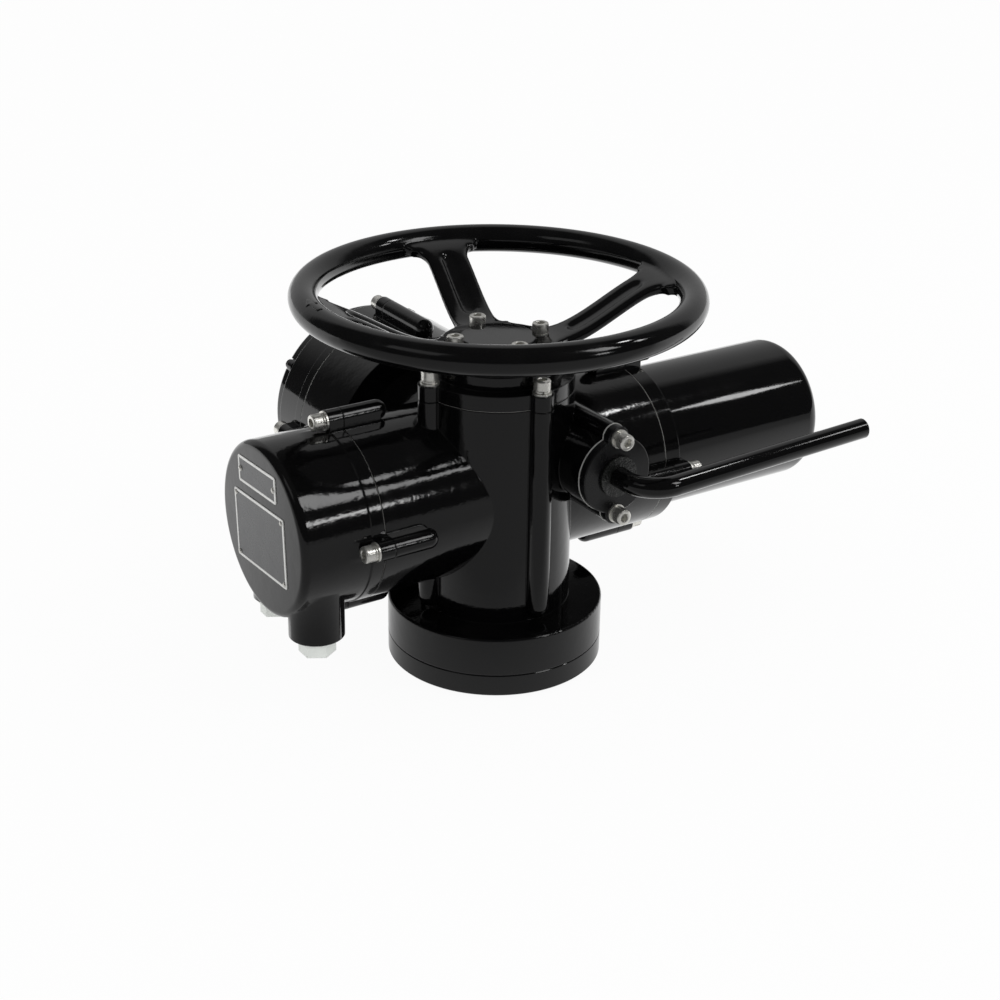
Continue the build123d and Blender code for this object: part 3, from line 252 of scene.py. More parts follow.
# %% Skin of a painted casting
def skin_group():
    """Normals of enamel over a casting: round corners, slow waves and fine peel."""
    group = bpy.data.node_groups.new("enamel_skin", "ShaderNodeTree")
    face = group.interface
    for name, value in (("Corner", 0.0006), ("Peel Scale", 420.0), ("Peel Depth", 0.00002),
                        ("Wave Scale", 60.0), ("Wave Depth", 0.0001)):
        socket = face.new_socket(name, in_out="INPUT", socket_type="NodeSocketFloat")
        socket.default_value = value
    face.new_socket("Normal", in_out="OUTPUT", socket_type="NodeSocketVector")
    start = add_node(group, "NodeGroupInput")
    end = add_node(group, "NodeGroupOutput")
    coords = add_node(group, "ShaderNodeTexCoord")
    before = add_node(group, "ShaderNodeBevel", samples=4)
    group.links.new(start.outputs["Corner"], before.inputs["Radius"])
    for kind in ("Wave", "Peel"):
        noise = add_node(group, "ShaderNodeTexNoise")
        noise.inputs["Detail"].default_value = 2.0
        bump = add_node(group, "ShaderNodeBump")
        bump.inputs["Strength"].default_value = 1.0
        group.links.new(coords.outputs["Object"], noise.inputs["Vector"])
        group.links.new(start.outputs[kind + " Scale"], noise.inputs["Scale"])
        group.links.new(start.outputs[kind + " Depth"], bump.inputs["Distance"])
        group.links.new(noise.outputs["Fac"], bump.inputs["Height"])
        group.links.new(before.outputs["Normal"], bump.inputs["Normal"])
        before = bump
    group.links.new(before.outputs["Normal"], end.inputs["Normal"])
    return group


enamel_skin = skin_group()
print("skin inputs:", [item.name for item in enamel_skin.interface.items_tree])


# %% [markdown]
# Nothing stays clean in a workshop. A second group gives a mask of dust that gathers on faces that look
# up, broken by noise. It lifts the colour and dulls the gloss a little there.

# %% Dust that lies on faces that look up
def dust_group():
    """Mask of dust: how far a face looks up, times a patchy noise, times the amount."""
    group = bpy.data.node_groups.new("resting_dust", "ShaderNodeTree")
    face = group.interface
    amount = face.new_socket("Amount", in_out="INPUT", socket_type="NodeSocketFloat")
    amount.default_value = 0.3
    face.new_socket("Mask", in_out="OUTPUT", socket_type="NodeSocketFloat")
    start = add_node(group, "NodeGroupInput")
    end = add_node(group, "NodeGroupOutput")
    coords = add_node(group, "ShaderNodeTexCoord")
    geometry = add_node(group, "ShaderNodeNewGeometry")
    split = add_node(group, "ShaderNodeSeparateXYZ")
    upward = add_node(group, "ShaderNodeMapRange")
    upward.inputs["From Min"].default_value = 0.2
    noise = add_node(group, "ShaderNodeTexNoise")
    noise.inputs["Scale"].default_value = 35.0
    noise.inputs["Detail"].default_value = 6.0
    patchy = add_node(group, "ShaderNodeMapRange")
    patchy.inputs["From Min"].default_value = 0.4
    patchy.inputs["From Max"].default_value = 0.75
    both = add_node(group, "ShaderNodeMath", operation="MULTIPLY")
    scaled = add_node(group, "ShaderNodeMath", operation="MULTIPLY")
    group.links.new(geometry.outputs["Normal"], split.inputs[0])
    group.links.new(split.outputs["Z"], upward.inputs["Value"])
    group.links.new(coords.outputs["Object"], noise.inputs["Vector"])
    group.links.new(noise.outputs["Fac"], patchy.inputs["Value"])
    group.links.new(upward.outputs[0], both.inputs[0])
    group.links.new(patchy.outputs[0], both.inputs[1])
    group.links.new(both.outputs[0], scaled.inputs[0])
    group.links.new(start.outputs["Amount"], scaled.inputs[1])
    group.links.new(scaled.outputs[0], end.inputs["Mask"])
    return group


resting_dust = dust_group()
print("dust inputs:", [item.name for item in resting_dust.interface.items_tree])


# %% [markdown]
# A third group gives the small unevenness that every finish has: smears of hands on paint, stains on
# steel, streaks on plates. It is a mask of two noises, one of them stretched, and each finish chooses
# the size and how much rougher the mask may make it.

# %% Smears and stains
def smear_group():
    """Mask of smears from 0 to 1: a broad noise times a finer one that is drawn out along one axis."""
    group = bpy.data.node_groups.new("hand_smears", "ShaderNodeTree")
    face = group.interface
    for name, value in (("Scale", 25.0), ("Stretch", 4.0)):
        socket = face.new_socket(name, in_out="INPUT", socket_type="NodeSocketFloat")
        socket.default_value = value
    face.new_socket("Mask", in_out="OUTPUT", socket_type="NodeSocketFloat")
    start = add_node(group, "NodeGroupInput")
    end = add_node(group, "NodeGroupOutput")
    coords = add_node(group, "ShaderNodeTexCoord")
    drawn = add_node(group, "ShaderNodeCombineXYZ")
    drawn.inputs["Y"].default_value = 1.0
    drawn.inputs["Z"].default_value = 1.0
    longer = add_node(group, "ShaderNodeVectorMath", operation="MULTIPLY")
    broad = add_node(group, "ShaderNodeTexNoise")
    broad.inputs["Detail"].default_value = 3.0
    fine = add_node(group, "ShaderNodeTexNoise")
    fine.inputs["Detail"].default_value = 5.0
    both = add_node(group, "ShaderNodeMath", operation="MULTIPLY")
    spread = add_node(group, "ShaderNodeMapRange")
    spread.inputs["From Min"].default_value = 0.15
    spread.inputs["From Max"].default_value = 0.4
    group.links.new(start.outputs["Stretch"], drawn.inputs["X"])
    group.links.new(coords.outputs["Object"], longer.inputs[0])
    group.links.new(drawn.outputs[0], longer.inputs[1])
    group.links.new(coords.outputs["Object"], broad.inputs["Vector"])
    group.links.new(longer.outputs[0], fine.inputs["Vector"])
    group.links.new(start.outputs["Scale"], broad.inputs["Scale"])
    group.links.new(start.outputs["Scale"], fine.inputs["Scale"])
    group.links.new(broad.outputs["Fac"], both.inputs[0])
    group.links.new(fine.outputs["Fac"], both.inputs[1])
    group.links.new(both.outputs[0], spread.inputs["Value"])
    group.links.new(spread.outputs[0], end.inputs["Mask"])
    return group


hand_smears = smear_group()
print("smear inputs:", [item.name for item in hand_smears.interface.items_tree])


# %% A finish with skin, dust and smears
def finish_of(name, colour, stain, rough, skin, dust=0.3, metallic=0.0, specular=0.5,
              smear=(25.0, 4.0, 0.05), corner=0.0006):
    """A material. stain is the colour of dust, skin is (peel scale, depth, wave scale, depth),
    smear is (scale, stretch, how much rougher) and corner is the radius that edges seem to have."""
    material = new_material(name)
    tree = material.node_tree
    shader = add_node(tree, "ShaderNodeBsdfPrincipled")
    shader.inputs["Metallic"].default_value = metallic
    shader.inputs["Specular IOR Level"].default_value = specular
    output = add_node(tree, "ShaderNodeOutputMaterial")
    peel = add_node(tree, "ShaderNodeGroup", node_tree=enamel_skin)
    peel.inputs["Corner"].default_value = corner
    for socket, value in zip(("Peel Scale", "Peel Depth", "Wave Scale", "Wave Depth"), skin):
        peel.inputs[socket].default_value = value
    dusty = add_node(tree, "ShaderNodeGroup", node_tree=resting_dust)
    dusty.inputs["Amount"].default_value = dust
    smears = add_node(tree, "ShaderNodeGroup", node_tree=hand_smears)
    smears.inputs["Scale"].default_value = smear[0]
    smears.inputs["Stretch"].default_value = smear[1]
    tint = add_node(tree, "ShaderNodeMix", data_type="RGBA")
    tint.inputs["A"].default_value = (*colour, 1.0)
    tint.inputs["B"].default_value = (*stain, 1.0)
    gloss = add_node(tree, "ShaderNodeMapRange")
    gloss.inputs["To Min"].default_value = rough
    gloss.inputs["To Max"].default_value = rough + smear[2]
    dull = add_node(tree, "ShaderNodeMath", operation="MULTIPLY_ADD")
    dull.inputs[1].default_value = 0.3
    tree.links.new(dusty.outputs["Mask"], tint.inputs["Factor"])
    tree.links.new(smears.outputs["Mask"], gloss.inputs["Value"])
    tree.links.new(dusty.outputs["Mask"], dull.inputs[0])
    tree.links.new(gloss.outputs[0], dull.inputs[2])
    tree.links.new(tint.outputs["Result"], shader.inputs["Base Color"])
    tree.links.new(dull.outputs[0], shader.inputs["Roughness"])
    tree.links.new(peel.outputs["Normal"], shader.inputs["Normal"])
    tree.links.new(shader.outputs[0], output.inputs["Surface"])
    return material


# %% Gloss paints
dust_grey = (0.16, 0.15, 0.14)
paint_black = (0.0014, 0.0014, 0.0016)
cast_enamel = finish_of("cast_enamel", paint_black, dust_grey, 0.06, (380.0, 0.00005, 80.0, 0.00013),
                        dust=0.012, specular=0.42, corner=0.0012)
smooth_enamel = finish_of("smooth_enamel", paint_black, dust_grey, 0.045, (300.0, 0.000014, 25.0, 0.00008),
                          dust=0.01, specular=0.42, corner=0.0008)
wheel_enamel = finish_of("wheel_enamel", paint_black, dust_grey, 0.06, (240.0, 0.00003, 50.0, 0.00012),
                         dust=0.012, specular=0.42, smear=(35.0, 1.0, 0.12))
satin_enamel = finish_of("satin_enamel", (0.002, 0.002, 0.0025), dust_grey, 0.24,
                         (500.0, 0.00003, 80.0, 0.00005), dust=0.02, specular=0.4, smear=(60.0, 1.0, 0.12), corner=0.0008)
print("paints:", cast_enamel.name, smooth_enamel.name, wheel_enamel.name, satin_enamel.name)

# %% [markdown]
# ## Other finishes
# The rest of the object is bare metal, plastic and rubber. They are versions of the same recipe: their
# own colour, roughness and grain, and less dust where hands and grease keep them clean. The bush that
# the lever turns in is black with old grease, so it gets a lumpy skin and patches of gloss.

# %% Metals, plastics and rubber
plain = (500.0, 0.000008, 80.0, 0.00002)
rough_cast = (700.0, 0.00012, 90.0, 0.0003)
rust = (0.16, 0.07, 0.025)
finishes = {
    "stainless": finish_of("stainless", (0.74, 0.73, 0.69), (0.30, 0.26, 0.20), 0.27, plain, 0.08, 0.92,
                           smear=(220.0, 1.0, 0.08), corner=0.0002),
    "gasket_metal": finish_of("gasket_metal", (0.58, 0.58, 0.56), (0.3, 0.29, 0.27), 0.38, plain, 0.2, 0.5,
                              corner=0.0002),
    "black_screw": finish_of("black_screw", (0.012, 0.012, 0.012), rust, 0.32, plain, 0.1, 0.4),
    "white_plastic": finish_of("white_plastic", (0.92, 0.95, 0.91), (0.6, 0.58, 0.54), 0.36,
                               (350.0, 0.00003, 60.0, 0.00005), 0.15, smear=(90.0, 1.0, 0.15)),
    "bronze": finish_of("bronze", (0.52, 0.32, 0.13), (0.3, 0.2, 0.1), 0.32, plain, 0.2, 1.0),
    "rubber": finish_of("rubber", (0.012, 0.012, 0.012), dust_grey, 0.6, plain, 0.3),
    "bearing_steel": finish_of("bearing_steel", (0.55, 0.55, 0.56), (0.3, 0.3, 0.3), 0.2, plain, 0.1, 1.0),
    "machined_steel": finish_of("machined_steel", (0.5, 0.5, 0.51), (0.3, 0.3, 0.3), 0.3, plain, 0.1, 1.0,
                                smear=(120.0, 8.0, 0.12)),
    "cast_iron": finish_of("cast_iron", (0.12, 0.12, 0.12), rust, 0.6, rough_cast, 0.3, 0.6),
    "cast_aluminium": finish_of("cast_aluminium", (0.55, 0.55, 0.56), dust_grey, 0.45, rough_cast, 0.2, 1.0),
    "lamination": finish_of("lamination", (0.2, 0.2, 0.22), rust, 0.5, plain, 0.1, 0.8),
    "winding": finish_of("winding", (0.45, 0.16, 0.06), (0.2, 0.1, 0.05), 0.35, rough_cast, 0.1, 0.7),
    "dark_plastic": finish_of("dark_plastic", (0.02, 0.02, 0.022), dust_grey, 0.5, rough_cast, 0.1),
    "brass": finish_of("brass", (0.7, 0.5, 0.2), (0.4, 0.3, 0.2), 0.3, plain, 0.1, 1.0),
    "black_paint": cast_enamel,
    "cap_metal": smooth_enamel,
}
greasy = finish_of("greasy_bronze", (0.004, 0.0045, 0.004), (0.03, 0.03, 0.025), 0.14,
                   (900.0, 0.0004, 260.0, 0.0007), 0.1, 0.0, smear=(400.0, 1.0, 0.3))
by_node = {name: smooth_enamel for name in (
    "motor_cover", "control_cover", "end_plate", "lever", "output_flange", "hub_cap")}
by_node |= {"lever_flange": satin_enamel, "lever_bush": greasy, "handwheel": wheel_enamel}
slots = {entry["node"]: entry["material_slot"] for entry in frame["record"]["subparts"]}
for name, piece in nodes.items():
    piece.data.materials.clear()
    piece.data.materials.append(by_node.get(name, finishes[slots[name]]))
print("finishes:", len(finishes) + len(by_node))


# %% [markdown]
# ## Handwheel
# The real wheel is one iron casting. Its spokes flow into the rim and the hub with round corners, their
# flanks are rounded over, and each carries a long pocket with soft edges. The CAD solid has these forms
# in plain bands. A Bevel modifier fails where so many curved faces meet, so each spoke is shaped from a
# grid, laid over the thinned spoke of the solid, and all of it is wrapped in one new even skin with a
# voxel Remesh and then smoothed, which rounds every corner as a mould does.

# %% A finished piece
def finished_piece(name, mesh, body, material_slot, *materials):
    """A mesh becomes a piece that moves with a body and takes the finishes it is given. material_slot is not
    used.
    """
    piece = bpy.data.objects.new(name, mesh)
    bpy.context.scene.collection.objects.link(piece)
    for material in materials:
        mesh.materials.append(material)
    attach(piece, body)
    return piece


# %% Shape of a spoke
rim_r = 0.149
tube_r = 0.0114
rim_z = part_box("handwheel")[1][2] - tube_r
root_r = 0.038
root_z = 0.26195
spoke_turns = [radians(-12 + 90 * k) for k in range(4)]
spoke_half = 0.0176
spoke_thick = 0.0045
edge_round = 0.0042
pocket_ends = (0.0655, 0.1135)
pocket_depth = 0.0032


def dish(r):
    """Height of a spoke's middle: it rises from the hub to the rim in one soft bend."""
    share = min(1.0, max(0.0, (r - root_r) / (rim_r - root_r)))
    return root_z + (1 - cos(pi * share)) / 2 * (rim_z - root_z)


def half_width(r):
    """A spoke is straight and widens only close to the hub and the rim."""
    inner = max(0.0, (0.056 - r) / 0.018)
    outer = max(0.0, (r - 0.115) / 0.024)
    return spoke_half + 0.005 * inner ** 2 + 0.018 * outer ** 2


def rounded(side, half):
    """How far a face drops near the spoke's edge."""
    near = max(0.0, side - (half - edge_round))
    return edge_round - (edge_round ** 2 - min(near, edge_round * 0.98) ** 2) ** 0.5


def pocket(r, side):
    """Depth of the long pocket at a point of the spoke."""
    past = max(pocket_ends[0] - r, 0.0, r - pocket_ends[1])
    miss = (past ** 2 + side ** 2) ** 0.5
    share = min(1.0, max(0.0, (0.0073 - miss) / 0.0026))
    return pocket_depth * share * share * (3 - 2 * share)


print("spoke is", round(2000 * half_width(0.09), 1), "mm wide at its waist")


# %% Spokes over the solid's thinned spokes
def add_spoke(joined, turned):
    sheet = bmesh.new()
    bmesh.ops.create_grid(sheet, x_segments=110, y_segments=40, size=0.5)
    swing = Matrix.Rotation(turned, 3, "Z")
    upper = sheet.verts[:]
    raised = bmesh.ops.extrude_face_region(sheet, geom=sheet.faces[:])
    lower = [v for v in raised["geom"] if isinstance(v, bmesh.types.BMVert)]
    for group, side_up in ((upper, 1), (lower, -1)):
        for vertex in group:
            r = 0.040 + (vertex.co.x + 0.5) * 0.107
            half = half_width(r)
            t = vertex.co.y * 2 * half
            height = spoke_thick - rounded(abs(t), half)
            if side_up > 0:
                height -= pocket(r, abs(t))
            vertex.co = swing @ Vector((r, t, dish(r) + side_up * height))
    bmesh.ops.recalc_face_normals(sheet, faces=sheet.faces)
    mesh = bpy.data.meshes.new("spoke")
    sheet.to_mesh(mesh)
    sheet.free()
    joined.from_mesh(mesh)
    bpy.data.meshes.remove(mesh)


casting = bmesh.new()
casting.from_mesh(nodes["handwheel"].data)
bmesh.ops.remove_doubles(casting, verts=casting.verts, dist=0.000005)
for vertex in casting.verts:
    flat = vertex.co.xy
    if 0.0475 < flat.length < 0.130:
        angle = flat.angle_signed(Vector((1.0, 0.0)))
        nearest = min(spoke_turns, key=lambda a: abs((angle - a + pi) % (2 * pi) - pi))
        swing = Matrix.Rotation(nearest, 3, "Z")
        local = swing.inverted() @ vertex.co
        middle = dish(local.x)
        local.y *= 0.6
        local.z = middle - 0.0008 + (local.z - middle) * 0.35
        vertex.co = swing @ local
for turned in spoke_turns:
    add_spoke(casting, turned)
print("faces before the skin:", len(casting.faces))


# %% One skin over all of it
def skin_over(joined, name, voxel, rounds):
    """Overlapping solids in one even skin of small faces, with their corners rounded."""
    raw = bpy.data.meshes.new(name + "_raw")
    joined.to_mesh(raw)
    joined.free()
    model = bpy.data.objects.new(name + "_raw", raw)
    bpy.context.scene.collection.objects.link(model)
    skin = model.modifiers.new("skin", "REMESH")
    skin.mode = "VOXEL"
    skin.voxel_size = voxel
    soften = model.modifiers.new("soften", "SMOOTH")
    soften.factor = 0.5
    soften.iterations = rounds
    finished = bpy.data.meshes.new_from_object(model.evaluated_get(bpy.context.evaluated_depsgraph_get()))
    bpy.data.objects.remove(model)
    finished.name = name
    finished.materials.clear()
    return finished


wheel_mesh = skin_over(casting, "handwheel_casting", 0.0013, 11)
print("skin triangles:", sum(len(face.vertices) - 2 for face in wheel_mesh.polygons))

# %% [markdown]
# Smoothing leaves the rim a little uneven, and gloss paint would show that. Points that lie near the
# true ring are drawn back onto it, fully where they are close and less where a spoke's corner begins.

# %% Rim drawn back to a true ring
pull_full, pull_none = 0.0003, 0.0009
pulled = 0
for vertex in wheel_mesh.vertices:
    flat = Vector((vertex.co.x, vertex.co.y, 0.0))
    centre = flat.normalized() * rim_r + Vector((0.0, 0.0, rim_z))
    out = vertex.co - centre
    miss = abs(out.length - tube_r)
    if miss < pull_none:
        pull = min(1.0, (pull_none - miss) / (pull_none - pull_full))
        vertex.co = vertex.co.lerp(centre + out.normalized() * tube_r, pull)
        pulled += 1
wheel_mesh.shade_smooth()
wheel = finished_piece("handwheel_casting", wheel_mesh, "handwheel", "black_paint", wheel_enamel)
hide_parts("handwheel")
print("rim points drawn back:", pulled)

# %% [markdown]
# The rim carries a raised arrow for the closing direction, cast in one with it. An arrow could be cut
# from text, but it is only seven corners: they are set flat, the face is extruded and its edges are
# beveled, and then the strip is bent onto the rim by reading its length as an angle round the wheel.

# %% Direction arrow on the rim
arrow_at = radians(173.0)
arrow_length = 0.027
head_length = 0.012
shaft_half = 0.0022
head_half = 0.0048
arrow_rise = 0.0007
tilt_in = radians(80.0)
strip = bmesh.new()
corners = [(-arrow_length / 2, -shaft_half), (arrow_length / 2 - head_length, -shaft_half),
           (arrow_length / 2 - head_length, -head_half), (arrow_length / 2, 0.0),
           (arrow_length / 2 - head_length, head_half), (arrow_length / 2 - head_length, shaft_half),
           (-arrow_length / 2, shaft_half)]
outline = strip.faces.new([strip.verts.new((x, y, -arrow_rise)) for x, y in corners])
raised = bmesh.ops.extrude_face_region(strip, geom=[outline])
top = [v for v in raised["geom"] if isinstance(v, bmesh.types.BMVert)]
bmesh.ops.translate(strip, verts=top, vec=(0.0, 0.0, 2 * arrow_rise))
bmesh.ops.recalc_face_normals(strip, faces=strip.faces)
bmesh.ops.bevel(strip, geom=[e for e in strip.edges if all(v.co.z > 0 for v in e.verts)], offset=0.0006,
                offset_type="OFFSET", affect="EDGES", segments=3, profile=0.5, material=-1)
for step in range(1, 14):
    place = -arrow_length / 2 + step * arrow_length / 14
    bmesh.ops.bisect_plane(strip, geom=strip.verts[:] + strip.edges[:] + strip.faces[:],
                           plane_co=(place, 0.0, 0.0), plane_no=(1.0, 0.0, 0.0))
for vertex in strip.verts:
    along = arrow_at - vertex.co.x / rim_r
    across = tilt_in - vertex.co.y / tube_r
    reach = tube_r + vertex.co.z
    spot = rim_r + reach * cos(across)
    vertex.co = (cos(along) * spot, sin(along) * spot, rim_z + reach * sin(across))
arrow_mesh = bpy.data.meshes.new("direction_arrow")
bmesh.ops.recalc_face_normals(strip, faces=strip.faces)
strip.to_mesh(arrow_mesh)
strip.free()
arrow_mesh.shade_smooth()
finished_piece("direction_arrow", arrow_mesh, "handwheel", "black_paint", wheel_enamel)
print("arrow faces:", len(arrow_mesh.polygons))

# %% [markdown]
# ## Joint lines
# Where a cover meets the housing, the paint has cracked along the joint and its bright edge shows as a
# hair line. A dark seam is in the solids already. The bright line is a thin ring in that seam, made by
# spinning a small circle round the cover's axis.

# %% Bright rings in the seams
def joint_line(name, centre, axis, radius, thick=0.00042):
    """A thin ring round an axis, its outside just proud of the bottom of the seam."""
    ring = bmesh.new()
    round_wire = bmesh.ops.create_circle(ring, radius=thick, segments=8)
    bmesh.ops.rotate(ring, verts=ring.verts, cent=(0.0, 0.0, 0.0), matrix=Matrix.Rotation(pi / 2, 3, "X"))
    bmesh.ops.translate(ring, verts=ring.verts, vec=(radius - thick, 0.0, 0.0))
    bmesh.ops.spin(ring, geom=ring.verts[:] + ring.edges[:], cent=(0.0, 0.0, 0.0), axis=(0.0, 0.0, 1.0),
                   dvec=(0.0, 0.0, 0.0), angle=2 * pi, steps=180, use_merge=True, use_duplicate=False)
    bmesh.ops.recalc_face_normals(ring, faces=ring.faces)
    mesh = bpy.data.meshes.new(name)
    ring.to_mesh(mesh)
    ring.free()
    where = Vector(axis).to_track_quat("Z", "Y").to_matrix().to_4x4()
    where.translation = centre
    mesh.transform(where)
    mesh.shade_smooth()
    finished_piece(name, mesh, "housing", "gasket_metal", joint_edge)
    print(name, "radius", round(radius * 1000, 1), "mm")


joint_edge = finish_of("joint_edge", (0.42, 0.42, 0.40), (0.06, 0.06, 0.055), 0.35, rough_cast, 0.6, 0.5,
                       smear=(300.0, 1.0, 0.3), corner=0.0001)
joint_line("terminal_joint_line", (-0.1296, 0.020, 0.144), (1, 0, 0), 0.0699)
joint_line("motor_joint_line", (0.140, 0.028, 0.139445), (1, 0, 0), 0.0692)
joint_line("top_joint_line", (0.0, 0.0, 0.230), (0, 0, 1), 0.0604)
joint_line("drum_joint_line", (0.0, 0.168, 0.146), (0, 1, 0), 0.0889)

# %% [markdown]
# ## Socket screws
# The covers are held by stainless socket screws, each on a split spring washer and a flat one. A real
# head is knurled round its side, has a chamfer round its top and a hexagon pocket. A screw is a turned
# part, so half of its outline is spun round its axis. The knurl and the hexagon aren't round, and are
# made by moving the spun points in or out. The seats are read from the CAD screws, so every finished
# screw stands exactly where its solid stands.

# %% Seats of a node's solids
def seats_of(node):
    """For each solid of a node: its points, the middle of its box and the sizes of that box."""
    merged = bmesh.new()
    merged.from_mesh(nodes[node].data)
    bmesh.ops.remove_doubles(merged, verts=merged.verts, dist=0.000005)
    waiting = set(merged.verts)
    seats = []
    while waiting:
        front = [waiting.pop()]
        points = []
        while front:
            vertex = front.pop()
            points.append(vertex.co.copy())
            for edge in vertex.link_edges:
                other = edge.other_vert(vertex)
                if other in waiting:
                    waiting.remove(other)
                    front.append(other)
        low = Vector(tuple(min(p[i] for p in points) for i in range(3)))
        high = Vector(tuple(max(p[i] for p in points) for i in range(3)))
        seats.append((points, (low + high) / 2, high - low))
    merged.free()
    seats.sort(key=lambda seat: tuple(round(v, 4) for v in seat[1]))
    return seats


def spun(profile, steps):
    """A closed turned part: (radius, height) points in millimetres, spun round the Z axis."""
    part = bmesh.new()
    verts = [part.verts.new((r / 1000, 0.0, z / 1000)) for r, z in profile]
    edges = [part.edges.new(pair) for pair in zip(verts, verts[1:])]
    bmesh.ops.spin(part, geom=verts + edges, cent=(0.0, 0.0, 0.0), axis=(0.0, 0.0, 1.0), dvec=(0.0, 0.0, 0.0),
                   angle=2 * pi, steps=steps, use_merge=True, use_duplicate=False)
    bmesh.ops.remove_doubles(part, verts=part.verts, dist=0.000002)
    bmesh.ops.recalc_face_normals(part, faces=part.faces)
    return part


def placed(joined, part, centre, axis, turned):
    """Adds a copy of a part to a joined mesh, its Z axis along axis and turned about it."""
    mesh = bpy.data.meshes.new("copy")
    part.to_mesh(mesh)
    where = axis.to_track_quat("Z", "Y").to_matrix().to_4x4() @ Matrix.Rotation(turned, 4, "Z")
    where.translation = centre
    mesh.transform(where)
    joined.from_mesh(mesh)
    bpy.data.meshes.remove(mesh)


print("screw seats:", len(seats_of("cover_screws")), "and", len(seats_of("hub_screws")))


# %% One socket screw
head_r = 6.5
head_h = 8.0
shank_r = 4.0
socket_half = 3.0
socket_depth = 4.2
knurl_depth = 0.2
screw_steps = 96


def socket_screw(length):
    """An M8 socket screw of a length under its head, in millimetres, the top of the head at z = 0."""
    part = spun([
        (0.0, -socket_depth - 0.9), (socket_half, -socket_depth), (socket_half, -0.55),
        (socket_half + 0.75, 0.0), (head_r - 1.0, 0.0), (head_r - 0.35, -0.35), (head_r - 0.05, -1.0),
        (head_r, -1.5), (head_r, -head_h + 1.2), (head_r - 0.1, -head_h + 0.5), (head_r - 0.4, -head_h),
        (shank_r, -head_h), (shank_r, -head_h - length + 0.9), (shank_r - 0.9, -head_h - length),
        (0.0, -head_h - length)], screw_steps)
    for vertex in part.verts:
        radius = vertex.co.xy.length * 1000
        angle = vertex.co.xy.angle_signed(Vector((1.0, 0.0)), 0.0) if radius > 0.01 else 0.0
        if abs(radius - socket_half) < 0.02 and vertex.co.z * 1000 > -socket_depth - 0.1:
            vertex.co.xy *= 1.0 / cos((angle % (pi / 3)) - pi / 6)
        elif radius > head_r - 0.02 and round(angle / (2 * pi) * screw_steps) % 2:
            vertex.co.xy *= 1.0 - knurl_depth / head_r
    return part


def screw_set(name, node, body):
    """Finished screws on the seats of a node's screws."""
    joined = bmesh.new()
    for count, (points, middle, size) in enumerate(seats_of(node)):
        along = max(range(3), key=lambda i: size[i])
        wide = [p for p in points if (p - middle).length ** 2 - (p - middle)[along] ** 2 > 0.005 ** 2]
        side = 1.0 if sum((p - middle)[along] for p in wide) > 0 else -1.0
        axis = Vector((0.0, 0.0, 0.0))
        axis[along] = side
        part = socket_screw(size[along] * 1000 - head_h)
        placed(joined, part, middle + axis * size[along] / 2, axis, count * 0.7)
        part.free()
    mesh = bpy.data.meshes.new(name)
    joined.to_mesh(mesh)
    joined.free()
    mesh.shade_smooth()
    mesh.set_sharp_from_angle(angle=radians(32))
    piece = finished_piece(name, mesh, body, "stainless", finishes["stainless"])
    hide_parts(node)
    print(name, "triangles", sum(len(face.vertices) - 2 for face in mesh.polygons))


screw_set("cover_socket_screws", "cover_screws", "housing")
screw_set("hub_socket_screws", "hub_screws", "handwheel")

# %% [markdown]
# A spring washer is a square wire wound once round and pressed flat, with a slanted cut. A square face
# spun a little less than a full turn gives it, and the two ends close themselves.

# %% Split washers
def split_washer(inner, outer, height):
    """A split ring, its middle at the origin, in millimetres."""
    part = bmesh.new()
    ring = [part.verts.new((r / 1000, 0.0, z / 1000)) for r, z in (
        (inner, -height / 2), (outer, -height / 2), (outer, height / 2), (inner, height / 2))]
    wire = part.faces.new(ring)
    bmesh.ops.bevel(part, geom=ring, offset=0.00028, offset_type="OFFSET", affect="VERTICES", segments=2,
                    profile=0.5, material=-1)
    wire = part.faces[:]
    bmesh.ops.spin(part, geom=wire, cent=(0.0, 0.0, 0.0), axis=(0.0, 0.0, 1.0), dvec=(0.0, 0.0, 0.0),
                   angle=2 * pi - 0.2, steps=60, use_merge=False, use_duplicate=False)
    bmesh.ops.recalc_face_normals(part, faces=part.faces)
    slant = 0.7 * height / 1000 / 2
    for vertex in part.verts:
        turned = vertex.co.xy.angle_signed(Vector((1.0, 0.0)), 0.0)
        if abs(turned) < 0.25:
            swing = Matrix.Rotation(vertex.co.z / slant * 0.05, 2)
            vertex.co.xy = swing @ vertex.co.xy
    return part


def washer_set(name, node, body):
    """Finished split washers on the seats of a node's washers."""
    joined = bmesh.new()
    for count, (points, middle, size) in enumerate(seats_of(node)):
        along = min(range(3), key=lambda i: size[i])
        axis = Vector((0.0, 0.0, 0.0))
        axis[along] = 1.0
        outer = max((p - middle).length for p in points) * 1000
        part = split_washer(4.2, max(size) * 500, size[along] * 1000)
        placed(joined, part, middle, axis, 0.9 + count * 1.1)
        part.free()
    mesh = bpy.data.meshes.new(name)
    joined.to_mesh(mesh)
    joined.free()
    mesh.shade_smooth()
    mesh.set_sharp_from_angle(angle=radians(40))
    piece = finished_piece(name, mesh, body, "stainless", finishes["stainless"])
    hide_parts(node)
    print(name, "triangles", sum(len(face.vertices) - 2 for face in mesh.polygons))


washer_set("cover_split_washers", "cover_spring_washers", "housing")
washer_set("hub_split_washers", "hub_spring_washers", "handwheel")

# %% [markdown]
# ## Terminal cover
# The flat end of the terminal cover reaches almost to its side, with a tight round corner. The solid has
# a wider corner. The solid's merged copy keeps its lip, bosses and cable entries, and only the points
# of that corner are moved onto a tighter arc: each keeps its angle on the arc, so the faces stay even.
# Smooth shading blends across long faces, so the side is cut next to the corner and the lip, which
# keeps the blend short and the long side truly round. Where a cable entry meets the corner, a point
# keeps its place on the upright entry and only rises or sinks to the new surface.

